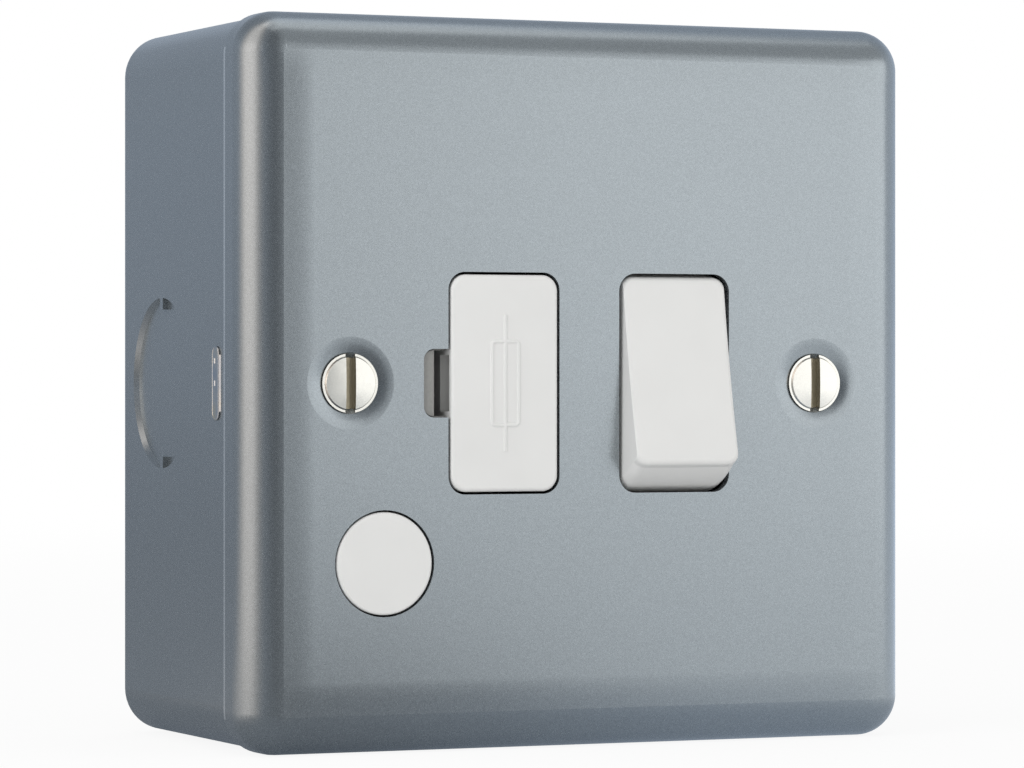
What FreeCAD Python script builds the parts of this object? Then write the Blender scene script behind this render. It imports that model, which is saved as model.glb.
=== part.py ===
import FreeCAD, Part
import math
import os
import re

import Sketcher
from FreeCAD import Rotation, Vector

# A metal-clad switched fused connection unit. X runs to the right of the face, Z runs up, and the face
# looks along -Y. The origin is the centre of the back box's rear face, on the wall. A level is a height
# above the wall, so a level of 10 lies at Y = -10.

doc = FreeCAD.newDocument("FusedSpurUnit")

# Driving sizes in millimetres and degrees.
SIZES = {
    "unit_depth": 45.0,
    "plate_width": 86.0,
    "plate_height": 86.0,
    "plate_depth": 7.5,
    "plate_corner": 5.0,
    "plate_roll": 4.6,
    "plate_sheet": 1.2,
    "box_inset": 0.3,
    "box_corner": 5.2,
    "box_bend": 1.8,
    "box_sheet": 1.2,
    "fixing_centres": 60.3,
    "knockout_bore": 20.5,
    "knockout_level": 15.0,
    "knockout_step": 0.6,
    "knockout_slope": 0.35,
    "knockout_bridge": 1.0,
    "knockout_bridge_reach": 1.4,
    "end_knockout_pitch": 34.0,
    "rear_knockout_pitch": 32.0,
    "wall_hole_bore": 5.0,
    "wall_hole_pitch": 51.0,
    "lug_level": 33.4,
    "lug_sheet": 2.0,
    "lug_width": 12.0,
    "lug_tab": 8.4,
    "lug_nose": 4.0,
    "lug_flange": 7.8,
    "lug_proud": 0.2,
    "lug_round": 0.9,
    "slot_clearance": 0.12,
    "thread_bore": 3.6,
    "screw_shank": 3.5,
    "screw_length": 24.0,
    "screw_head": 6.9,
    "screw_rim": 0.12,
    "screw_land": 6.05,
    "screw_bevel": 0.16,
    "screw_ledge": 0.15,
    "screw_rise": 0.38,
    "screw_crown": 0.5,
    "screw_slot_width": 1.2,
    "screw_slot_depth": 1.1,
    "dimple_radius": 5.4,
    "dimple_round": 5.0,
    "dimple_margin": 0.12,
    "head_clearance": 0.05,
    "opening_height": 26.0,
    "opening_round": 2.1,
    "face_gap": 0.3,
    "fuse_place": -10.8,
    "fuse_opening_width": 14.2,
    "fuse_face_proud": 0.3,
    "fuse_face_thick": 3.0,
    "fuse_face_round": 0.5,
    "fuse_face_corner": 1.9,
    "notch_width": 3.1,
    "notch_height": 8.0,
    "notch_round": 1.3,
    "ledge_width": 1.4,
    "ledge_gap": 0.18,
    "ledge_drop": 0.45,
    "ledge_round": 0.35,
    "lever_pocket_depth": 1.7,
    "lever_pocket_height": 6.6,
    "lever_pocket_lip": 0.8,
    "rocker_place": 11.3,
    "rocker_opening_width": 14.5,
    "outlet_across": -25.9,
    "outlet_up": -20.9,
    "outlet_bore": 12.4,
    "outlet_way": 10.2,
    "outlet_seat": 1.4,
    "outlet_ring_wall": 1.7,
    "outlet_ring_depth": 4.0,
    "deck_sheet": 2.5,
    "deck_lip": 1.0,
    "deck_bottom": 31.5,
    "ear_reach": 34.0,
    "ear_top": -11.0,
    "module_clearance": 1.65,
    "module_height": 59.0,
    "block_half_height": 15.0,
    "column_gap": 1.1,
    "moulding_wall": 1.8,
    "well_wall": 1.2,
    "split_level": 31.0,
    "housing_rear": 20.8,
    "floor_sheet": 2.0,
    "rocker_tilt": 11.0,
    "pivot_depth": 6.0,
    "sweep_radius": 13.5,
    "shoulder_reach": 7.0,
    "crease_reach": 8.1,
    "crease_half_height": 11.25,
    "rocker_dish": 190.0,
    "rocker_wall": 1.5,
    "rocker_rim": 1.2,
    "rocker_draft": 0.4,
    "rocker_corner": 1.7,
    "rocker_crease": 0.7,
    "cheek_half_height": 4.0,
    "cheek_depth": 2.6,
    "pivot_pin": 3.0,
    "pivot_reach": 1.2,
    "pin_clearance": 0.05,
    "running_gap": 0.3,
    "pole_offset": 3.25,
    "plunger_bore": 3.3,
    "plunger_size": 3.0,
    "barrel_wall": 0.65,
    "barrel_reach": 6.5,
    "plunger_back": 3.0,
    "spring_seat": 2.6,
    "spring_wire": 0.45,
    "spring_turns": 5.0,
    "lever_level": 27.2,
    "lever_half_length": 9.5,
    "lever_width": 4.4,
    "strip_sheet": 0.8,
    "bearing_radius": 0.8,
    "blade_sheet": 0.7,
    "tip_radius": 1.4,
    "tip_sheet": 0.7,
    "tip_place": 8.0,
    "contact_gap": 0.06,
    "strip_taper": 1.6,
    "terminal_width": 6.6,
    "terminal_length": 8.0,
    "terminal_middle": 21.0,
    "terminal_gap": 0.9,
    "wire_bore": 3.8,
    "wire_cover": 1.1,
    "terminal_head": 4.6,
    "fuse_length": 25.4,
    "fuse_diameter": 6.35,
    "fuse_cap_length": 6.1,
    "fuse_cap_sheet": 0.2,
    "fuse_bore": 3.2,
    "clip_clearance": 0.1,
    "clip_sheet": 0.7,
    "clip_middle": 9.8,
    "clip_height": 4.4,
    "cradle_half_height": 6.0,
    "cradle_wall": 1.5,
    "tail_wall": 1.2,
    "tail_half_height": 5.0,
    "tail_hook": 1.2,
    "carrier_travel": 16.0,
    "stud_size": 3.0,
    "nut_across_flats": 5.5,
    "nut_height": 2.4,
    "lower_stud_across": 29.0,
    "lower_stud_up": -21.0,
    "upper_stud_across": -14.0,
    "upper_stud_up": 22.5,
    "module_screw_up": 12.4,
    "module_screw_size": 2.5,
    "pan_head": 1.5,
    "boss_wall": 0.65,
    "strap_sheet": 0.8,
    "strap_half_length": 26.0,
    "strap_width": 5.0,
    "strap_drop": 1.5,
    "strap_tab": 3.2,
    "clamp_across": -9.0,
    "clamp_width": 6.0,
    "clamp_sheet": 2.6,
    "clamp_level": 30.6,
    "clamp_post": 4.4,
    "clamp_upper": -17.4,
    "clamp_lower": -28.9,
    "clamp_screw_head": 4.2,
    "clamp_screw_length": 9.0,
    "earth_block": 8.0,
    "earth_block_across": 16.0,
    "earth_block_inset": 5.5,
}

sheet = doc.addObject("Spreadsheet::Sheet", "Sizes")
for row, (alias, size) in enumerate(SIZES.items(), start=1):
    sheet.set(f"A{row}", alias)
    sheet.set(f"B{row}", str(size))
    sheet.setAlias(f"B{row}", alias)
doc.recompute()


def bound(size):
    """Turn words of the sheet in an expression into references to its cells."""
    return re.sub(r"[a-z_]+", lambda word: f"Sizes.{word[0]}" if word[0] in SIZES else word[0], str(size))


def value(size):
    """The number that an expression of sheet words gives now."""
    return float(sheet.evalExpression(bound(size)))


def minus(size):
    """The same size on the other side of zero."""
    return f"-({size})"


# Levels and places that follow from the driving sizes.
PLATE_REAR = "(unit_depth - plate_sheet)"
SKIRT_LEVEL = "(unit_depth - plate_depth)"
DECK_REAR = "(unit_depth - plate_sheet - deck_sheet)"
FLOOR = "(housing_rear + floor_sheet)"
STRIP_TOP = "(housing_rear + floor_sheet + strip_sheet)"
PIVOT_LEVEL = "(unit_depth - pivot_depth)"
FUSE_FACE_REAR = "(unit_depth + fuse_face_proud - fuse_face_thick)"
FUSE_LEVEL = f"({FUSE_FACE_REAR} - running_gap - fuse_diameter / 2)"
HALF_OPENING = "(opening_height / 2)"
FUSE_HALF_WIDTH = "(fuse_opening_width / 2)"
FUSE_WELL = "(fuse_opening_width / 2 + tail_hook)"
ROCKER_WELL = "(rocker_opening_width / 2 + 0.1)"
ROCKER_HALF_WIDTH = "(rocker_opening_width / 2 - face_gap)"
SWEEP_WELL = "(sweep_radius + running_gap)"
BOX_WIDTH = "(plate_width - 2 * box_inset)"
BOX_HEIGHT = "(plate_height - 2 * box_inset)"
MODULE_WIDTH = "(fixing_centres - 2 * lug_nose - 2 * deck_lip - 2 * module_clearance)"
EARTH_COLUMN = f"({MODULE_WIDTH} / 2 - terminal_width / 2)"
NEUTRAL_COLUMN = f"({EARTH_COLUMN} - terminal_width - terminal_gap)"
LIVE_COLUMN = f"({NEUTRAL_COLUMN} - terminal_width - terminal_gap)"
COLUMN_LEFT = f"({LIVE_COLUMN} - terminal_width / 2 - column_gap - moulding_wall)"
EARTH_BLOCK_UP = f"(-{BOX_HEIGHT} / 2 + box_sheet + earth_block_inset + earth_block / 2)"
BETWEEN_WELLS = "((fuse_place + rocker_place + fuse_opening_width / 2 + tail_hook - rocker_opening_width / 2) / 2)"
DIMPLE_RIM = "(screw_head / 2 + dimple_margin)"
DIMPLE_DEPTH = f"(dimple_round - sqrt(dimple_round ^ 2 - (dimple_radius - {DIMPLE_RIM}) ^ 2))"
HEAD_LEVEL = f"(unit_depth - {DIMPLE_DEPTH} - dimple_margin + screw_rim + head_clearance)"
NOTCH_LEFT = f"(fuse_place - {FUSE_HALF_WIDTH} - notch_width)"
LEDGE_RIGHT = f"({NOTCH_LEFT} + ledge_gap + ledge_width)"
PLUNGER_REACH = f"({PIVOT_LEVEL} - lever_level - bearing_radius - strip_sheet - running_gap)"
POLES = {"live": "(rocker_place - pole_offset)", "neutral": "(rocker_place + pole_offset)"}


def named(kind, name):
    """A new object of the document with its own label."""
    item = doc.addObject(kind, name)
    item.Label = name
    return item


def bind(item, **sizes):
    """Bind properties of an object to expressions of sheet words."""
    for prop, size in sizes.items():
        item.setExpression(prop.replace("__", "."), bound(size))
    return item


def place(item, across="0", level="0", up="0"):
    """Bind where an object stands."""
    return bind(item, Placement__Base__x=across, Placement__Base__y=minus(level), Placement__Base__z=up)


def block(name, across, levels, up):
    """A plain block between pairs of limits."""
    item = named("Part::Box", name)
    bind(
        item,
        Length=f"({across[1]}) - ({across[0]})",
        Width=f"({levels[1]}) - ({levels[0]})",
        Height=f"({up[1]}) - ({up[0]})",
    )
    return place(item, across[0], levels[1], up[0])


def rod(name, radius, levels, across="0", up="0"):
    """A round bar square to the wall, between two levels."""
    item = named("Part::Cylinder", name)
    bind(item, Radius=radius, Height=f"({levels[1]}) - ({levels[0]})")
    item.Placement.Rotation = Rotation(Vector(1, 0, 0), 90)
    return place(item, across, levels[0], up)


def bar_across(name, radius, across, level="0", up="0"):
    """A round bar along X between two places."""
    item = named("Part::Cylinder", name)
    bind(item, Radius=radius, Height=f"({across[1]}) - ({across[0]})")
    item.Placement.Rotation = Rotation(Vector(0, 1, 0), 90)
    return place(item, across[0], level, up)


def bar_up(name, radius, up, across="0", level="0"):
    """A round bar along Z between two heights."""
    item = named("Part::Cylinder", name)
    bind(item, Radius=radius, Height=f"({up[1]}) - ({up[0]})")
    return place(item, across, level, up[0])


def fused(name, *parts):
    """One solid from several."""
    item = named("Part::MultiFuse", name)
    item.Shapes = list(parts)
    item.Refine = True
    return item


def without(name, base, *tools):
    """The base with every tool taken away."""
    item = named("Part::Cut", name)
    item.Base = base
    item.Tool = tools[0] if len(tools) == 1 else fused(f"{name}_cutters", *tools)
    item.Refine = True
    return item


def group(name, parts):
    """Like pieces that stay separate solids in one sub-part."""
    item = named("Part::Compound", name)
    item.Links = list(parts)
    return item


def body_sketch(body, name, role, offset="0"):
    """A sketch on one of the body's own origin planes."""
    sketch = body.newObject("Sketcher::SketchObject", name)
    origin_plane = next(item for item in body.Origin.OriginFeatures if item.Role == role)
    sketch.AttachmentSupport = (origin_plane, [""])
    sketch.MapMode = "FlatFace"
    bind(sketch, AttachmentOffset__Base__z=offset)
    return sketch


def pin_point(sketch, curve, end, point):
    """Hold one end of a curve at a place given by two expressions."""
    for kind, size in zip(("DistanceX", "DistanceY"), point):
        index = sketch.addConstraint(Sketcher.Constraint(kind, -1, 1, curve, end, value(size)))
        sketch.setExpression(f"Constraints[{index}]", bound(size))


def arc_middle(start, end, radius, side):
    """The middle of an arc that bulges to the left (side 1) or to the right (side -1) of its chord."""
    chord = end - start
    sagitta = radius - math.sqrt(radius**2 - (chord.Length / 2) ** 2)
    across = Vector(-chord.y, chord.x, 0).normalize()
    return (start + end) * 0.5 + across * (sagitta * side)


def closed_outline(sketch, points):
    """Draw a closed outline and hold every corner and radius."""
    first = sketch.GeometryCount
    spots = [Vector(value(point[0]), value(point[1]), 0) for point in points]
    starts = []
    for number, point in enumerate(points):
        start, end = spots[number], spots[(number + 1) % len(spots)]
        if len(point) == 2:
            sketch.addGeometry(Part.LineSegment(start, end))
            starts.append((1, 2))
            continue
        middle = arc_middle(start, end, value(point[2]), point[3])
        sketch.addGeometry(Part.Arc(start, middle, end))
        starts.append((2, 1) if point[3] > 0 else (1, 2))
    for number, point in enumerate(points):
        following = (number + 1) % len(points)
        sketch.addConstraint(
            Sketcher.Constraint(
                "Coincident", first + number, starts[number][1], first + following, starts[following][0]
            )
        )
    for number, point in enumerate(points):
        pin_point(sketch, first + number, starts[number][0], point[:2])
        if len(point) > 2:
            index = sketch.addConstraint(Sketcher.Constraint("Radius", first + number, value(point[2])))
            sketch.setExpression(f"Constraints[{index}]", bound(point[2]))


def box_outline(across, up):
    """The four corners of a rectangle between pairs of limits."""
    return [(across[0], up[0]), (across[1], up[0]), (across[1], up[1]), (across[0], up[1])]


def circle(sketch, radius, centre):
    """A circle with its radius and centre held."""
    middle = Vector(value(centre[0]), value(centre[1]), 0)
    number = sketch.addGeometry(Part.Circle(middle, Vector(0, 0, 1), value(radius)))
    pin_point(sketch, number, 3, centre)
    index = sketch.addConstraint(Sketcher.Constraint("Radius", number, value(radius)))
    sketch.setExpression(f"Constraints[{index}]", bound(radius))


def feature(body, kind, name, sketch, **sizes):
    """Add a feature on a sketch to a body and bind its sizes."""
    item = body.newObject(kind, name)
    item.Profile = sketch
    bind(item, **sizes)
    doc.recompute()
    return item


def pad(body, name, outlines, levels, circles=()):
    """Pad outlines drawn square to the wall between two levels."""
    sketch = body_sketch(body, f"{name}_sketch", "XZ_Plane", levels[0])
    for points in outlines:
        closed_outline(sketch, points)
    for radius, centre in circles:
        circle(sketch, radius, centre)
    return feature(body, "PartDesign::Pad", name, sketch, Length=f"({levels[1]}) - ({levels[0]})")


def pocket(body, name, outlines, levels, circles=()):
    """Cut outlines drawn square to the wall from the upper level down to the lower one."""
    sketch = body_sketch(body, f"{name}_sketch", "XZ_Plane", levels[1])
    for points in outlines:
        closed_outline(sketch, points)
    for radius, centre in circles:
        circle(sketch, radius, centre)
    before = body.Shape.Volume
    item = feature(body, "PartDesign::Pocket", name, sketch, Length=f"({levels[1]}) - ({levels[0]})")
    if body.Shape.Volume >= before:
        raise RuntimeError(f"{name} cut nothing")
    return item


def plate_body(name, outlines, levels, circles=()):
    """A body that starts as one pad."""
    body = named("PartDesign::Body", name)
    pad(body, f"{name}_pad", outlines, levels, circles)
    return body


def side_profile(name, points, width):
    """A body padded both ways along X from an outline in Y and Z."""
    body = named("PartDesign::Body", name)
    sketch = body_sketch(body, f"{name}_sketch", "YZ_Plane")
    closed_outline(sketch, points)
    item = feature(body, "PartDesign::Pad", f"{name}_pad", sketch, Length=width)
    item.Midplane = True
    doc.recompute()
    return body


def turned(name, points):
    """A body turned about the Y axis from an outline of radius and Y."""
    body = named("PartDesign::Body", name)
    sketch = body_sketch(body, f"{name}_sketch", "XY_Plane")
    closed_outline(sketch, points)
    item = feature(body, "PartDesign::Revolution", f"{name}_turn", sketch)
    item.ReferenceAxis = (sketch, ["V_Axis"])
    doc.recompute()
    return body


def along_y(edge):
    """Whether a straight edge runs square to the wall."""
    return edge.Curve.TypeId == "Part::GeomLine" and abs(edge.tangentAt(edge.FirstParameter).y) > 0.999


def along_x(edge):
    """Whether a straight edge runs across the unit."""
    return edge.Curve.TypeId == "Part::GeomLine" and abs(edge.tangentAt(edge.FirstParameter).x) > 0.999


def at_level(part, level):
    """Whether a face or edge lies flat at a level."""
    box = part.BoundBox
    return abs(box.YMin + value(level)) < 1e-4 and abs(box.YMax + value(level)) < 1e-4


def round_edges(body, name, radius, picks):
    """Round the edges that a test picks."""
    tip = body.Tip
    edges = [f"Edge{number}" for number, edge in enumerate(tip.Shape.Edges, start=1) if picks(edge)]
    item = body.newObject("PartDesign::Fillet", name)
    item.Base = (tip, edges)
    bind(item, Radius=radius)
    doc.recompute()
    return item


def hollow(body, name, wall, level):
    """Leave a wall and open the face at a level."""
    tip = body.Tip
    faces = [f"Face{number}" for number, face in enumerate(tip.Shape.Faces, start=1) if at_level(face, level)]
    item = body.newObject("PartDesign::Thickness", name)
    item.Base = (tip, faces)
    item.Reversed = True
    bind(item, Value=wall)
    doc.recompute()
    return item


def tray(name, width, height, corner, levels, bend, bent_level, open_level, wall):
    """A pressed tray with rounded corners, a bent edge at one level and an open side at the other."""
    half_width, half_height = f"({width} / 2)", f"({height} / 2)"
    corners = box_outline((minus(half_width), half_width), (minus(half_height), half_height))
    body = plate_body(name, [corners], levels)
    round_edges(body, f"{name}_corners", corner, along_y)
    round_edges(body, f"{name}_bend", bend, lambda edge: at_level(edge, bent_level))
    hollow(body, f"{name}_wall", wall, open_level)
    return body


def knockout_places(depth):
    """Each knockout's name, the way into the box and its place at a depth in the sheet."""
    half_width, half_height = f"({BOX_WIDTH} / 2 - {depth})", f"({BOX_HEIGHT} / 2 - {depth})"
    rows = [
        ("left", Vector(1, 0, 0), (minus(half_width), "knockout_level", "0")),
        ("right", Vector(-1, 0, 0), (half_width, "knockout_level", "0")),
    ]
    for side, shift in (("left", "-end_knockout_pitch / 2"), ("right", "end_knockout_pitch / 2")):
        rows.append((f"top_{side}", Vector(0, 0, -1), (shift, "knockout_level", half_height)))
        rows.append((f"bottom_{side}", Vector(0, 0, 1), (shift, "knockout_level", minus(half_height))))
    for end, shift in (("upper", "rear_knockout_pitch / 2"), ("lower", "-rear_knockout_pitch / 2")):
        rows.append((f"{end}_rear", Vector(0, -1, 0), ("0", depth, shift)))
    return rows


def stamped_disc(name):
    """The part-sheared disc of a knockout, as deep as the press pushes it."""
    disc = named("Part::Cone", name)
    return bind(
        disc, Radius1="knockout_bore / 2", Radius2="knockout_bore / 2 - knockout_slope",
        Height="knockout_step",
    )


def knockout_dent(name):
    """The sunk side of a knockout, less the two bridges that hold its disc."""
    bridges = []
    for side, start in (
        ("near", "-knockout_bore / 2 - knockout_bridge"), ("far", "knockout_bore / 2 - knockout_bridge_reach"),
    ):
        bridge = named("Part::Box", f"{name}_{side}_bridge")
        bind(
            bridge, Length="knockout_bridge + knockout_bridge_reach", Width="knockout_bridge",
            Height="knockout_step", Placement__Base__x=start, Placement__Base__y="-knockout_bridge / 2",
        )
        bridges.append(bridge)
    return without(name, stamped_disc(f"{name}_disc"), *bridges)


def stand(item, way, at):
    """Turn a piece that was made along Z to point another way, and place it."""
    item.Placement = FreeCAD.Placement(Vector(), Rotation(Vector(0, 0, 1), way))
    return place(item, *at)


def back_box():
    """The pressed back box, with partly sheared knockouts, lug slots and holes for the wall's screws."""
    pan = tray(
        "box_pan", BOX_WIDTH, BOX_HEIGHT, "box_corner", ("0", SKIRT_LEVEL), "box_bend", "0", SKIRT_LEVEL,
        "box_sheet",
    )
    dents = [stand(knockout_dent(f"{name}_dent"), way, at) for name, way, at in knockout_places("0")]
    bosses = [stand(stamped_disc(f"{name}_boss"), way, at) for name, way, at in knockout_places("box_sheet")]
    half_slot = "(lug_tab / 2 + slot_clearance)"
    slots = side_profile(
        "lug_slots",
        box_outline(
            ("-lug_level - lug_sheet - slot_clearance", "-lug_level + slot_clearance"),
            (minus(half_slot), half_slot),
        ),
        f"{BOX_WIDTH} + 2 * box_sheet",
    )
    round_edges(slots, "lug_slot_ends", "lug_round + slot_clearance", along_x)
    holes = []
    for column in ("-1", "1"):
        for line in ("-1", "1"):
            holes.append(
                rod(
                    "wall_hole", "wall_hole_bore / 2", ("-1", "box_sheet + 1"),
                    f"{column} * wall_hole_pitch / 2", f"{line} * wall_hole_pitch / 2",
                )
            )
    return without("back_box", fused("box_pressed", pan, *bosses), *dents, slots, *holes)


def fixing_lug(side, sign):
    """A tapped lug: its tab goes through the box's side and its flange lies against the wall inside."""
    inner = f"({BOX_WIDTH} / 2 - box_sheet)"
    nose = "(fixing_centres / 2 - lug_nose)"
    half_width, half_tab = "(lug_width / 2)", "(lug_tab / 2)"
    levels = ("lug_level", "lug_level + lug_sheet")

    def limits(low, high):
        return (low, high) if sign > 0 else (minus(high), minus(low))

    tongue = plate_body(
        f"{side}_lug_tongue", [box_outline(limits(nose, inner), (minus(half_width), half_width))], levels
    )
    nose_place = value(nose) * sign
    round_edges(
        tongue, f"{side}_lug_nose", "lug_width * 0.3",
        lambda edge: along_y(edge) and abs(edge.Vertexes[0].X - nose_place) < 1e-4,
    )
    tab = side_profile(
        f"{side}_lug_tab",
        box_outline(("-lug_level - lug_sheet", "-lug_level"), (minus(half_tab), half_tab)),
        "box_sheet + lug_proud",
    )
    round_edges(tab, f"{side}_lug_tab_ends", "lug_round", along_x)
    place(tab, f"{sign} * ({inner} + (box_sheet + lug_proud) / 2)")
    flange = block(
        f"{side}_lug_flange", limits(f"{inner} - lug_sheet", inner),
        ("lug_level - lug_flange", "lug_level + lug_sheet"), (minus(half_width), half_width),
    )
    hole = rod(
        f"{side}_lug_hole", "thread_bore / 2", ("lug_level - 1", "lug_level + lug_sheet + 1"),
        f"{sign} * fixing_centres / 2",
    )
    return without(f"{side}_fixing_lug", fused(f"{side}_lug_blank", tongue, tab, flange), hole)


def front_plate():
    """The pressed front plate: rolled edges, openings, and a pressed dimple at each fixing screw."""
    shell = tray(
        "plate_shell", "plate_width", "plate_height", "plate_corner", (SKIRT_LEVEL, "unit_depth"),
        "plate_roll", "unit_depth", SKIRT_LEVEL, "plate_sheet",
    )
    through = (f"{PLATE_REAR} - 1", "unit_depth + 1")
    tall = (minus(HALF_OPENING), HALF_OPENING)
    openings = []
    for name, centre, half in (
        ("fuse_opening", "fuse_place", FUSE_HALF_WIDTH),
        ("rocker_opening", "rocker_place", "(rocker_opening_width / 2)"),
    ):
        cutter = plate_body(name, [box_outline((f"{centre} - {half}", f"{centre} + {half}"), tall)], through)
        round_edges(cutter, f"{name}_round", "opening_round", along_y)
        openings.append(cutter)
    notch = plate_body(
        "notch_cutter",
        [box_outline((NOTCH_LEFT, "fuse_place"), ("-notch_height / 2", "notch_height / 2"))],
        through,
    )
    round_edges(notch, "notch_cutter_round", "notch_round", along_y)
    outlet = rod("outlet_cutter", "outlet_bore / 2", through, "outlet_across", "outlet_up")
    throat = "(screw_shank / 2 + dimple_margin)"
    sink = f"({DIMPLE_DEPTH} + {DIMPLE_RIM} - {throat})"
    dishes, dimples = [], []
    for side, sign in (("left", "-1"), ("right", "1")):
        dish = turned(
            f"{side}_dish",
            [
                ("0", "plate_sheet / 2"),
                ("dimple_radius", "plate_sheet / 2"),
                ("dimple_radius - plate_sheet / 2", "plate_sheet * 1.2"),
                (f"{throat} + plate_sheet", f"{sink} + plate_sheet * 0.6"),
                ("0", f"{sink} + plate_sheet * 0.6"),
            ],
        )
        dimple = turned(
            f"{side}_dimple",
            [
                ("0", "-1"),
                ("dimple_radius + 0.01", "-1"),
                ("dimple_radius + 0.01", "0"),
                ("dimple_radius", "0", "dimple_round", 1),
                (DIMPLE_RIM, DIMPLE_DEPTH),
                (throat, sink),
                (throat, f"{sink} + plate_sheet * 2"),
                ("0", f"{sink} + plate_sheet * 2"),
            ],
        )
        for item, found in ((dish, dishes), (dimple, dimples)):
            place(item, f"{sign} * fixing_centres / 2", "unit_depth")
            found.append(item)
    pressed = fused("plate_pressed", shell, *dishes)
    return without("front_plate", pressed, *openings, notch, outlet, *dimples)


def plate_screw(side, sign):
    """A raised slotted screw: a nearly flat crown, a steep bevel down to a thin ledge, and a countersink.
    Its slot stands upright."""
    head, shank, land = "(screw_head / 2)", "(screw_shank / 2)", "(screw_land / 2)"
    doming = "(screw_crown - screw_rise)"
    crown_radius = f"({land} ^ 2 + {doming} ^ 2) / (2 * {doming})"
    screw = turned(
        f"{side}_screw_turned",
        [
            ("0", "-screw_crown", crown_radius, -1),
            (land, "-screw_rise"),
            (f"{land} + screw_bevel", "-screw_ledge"),
            (head, "-screw_ledge"),
            (head, "screw_rim"),
            (shank, f"screw_rim + {head} - {shank}"),
            (shank, "screw_length - screw_shank / 6"),
            ("screw_shank / 3", "screw_length"),
            ("0", "screw_length"),
        ],
    )
    slot = named("Part::Box", f"{side}_screw_slot")
    bind(
        slot,
        Length="screw_slot_width",
        Width="screw_slot_depth + screw_crown",
        Height="screw_head * 1.2",
        Placement__Base__x="-screw_slot_width / 2",
        Placement__Base__y="-2 * screw_crown",
        Placement__Base__z="-screw_head * 0.6",
    )
    item = without(f"{side}_plate_screw", screw, slot)
    return place(item, f"{sign} * fixing_centres / 2", HEAD_LEVEL)


def housing_outline(wall):
    """The mechanism's plan: a block round the fuse and a column round the rocker and terminals."""
    right, left = f"({MODULE_WIDTH} / 2 - {wall})", f"(-{MODULE_WIDTH} / 2 + {wall})"
    top = f"(module_height / 2 - {wall})"
    step, column = f"(block_half_height - {wall})", f"({COLUMN_LEFT} + {wall})"
    return [
        (left, step), (left, minus(step)), (column, minus(step)), (column, minus(top)), (right, minus(top)),
        (right, top), (column, top), (column, step),
    ]


def well_outline(centre, half_width, half_height, wall="0"):
    """A rectangle round a well's centre."""
    wide, tall = f"({half_width} + {wall})", f"({half_height} + {wall})"
    return box_outline((f"{centre} - {wide}", f"{centre} + {wide}"), (minus(tall), tall))


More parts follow.
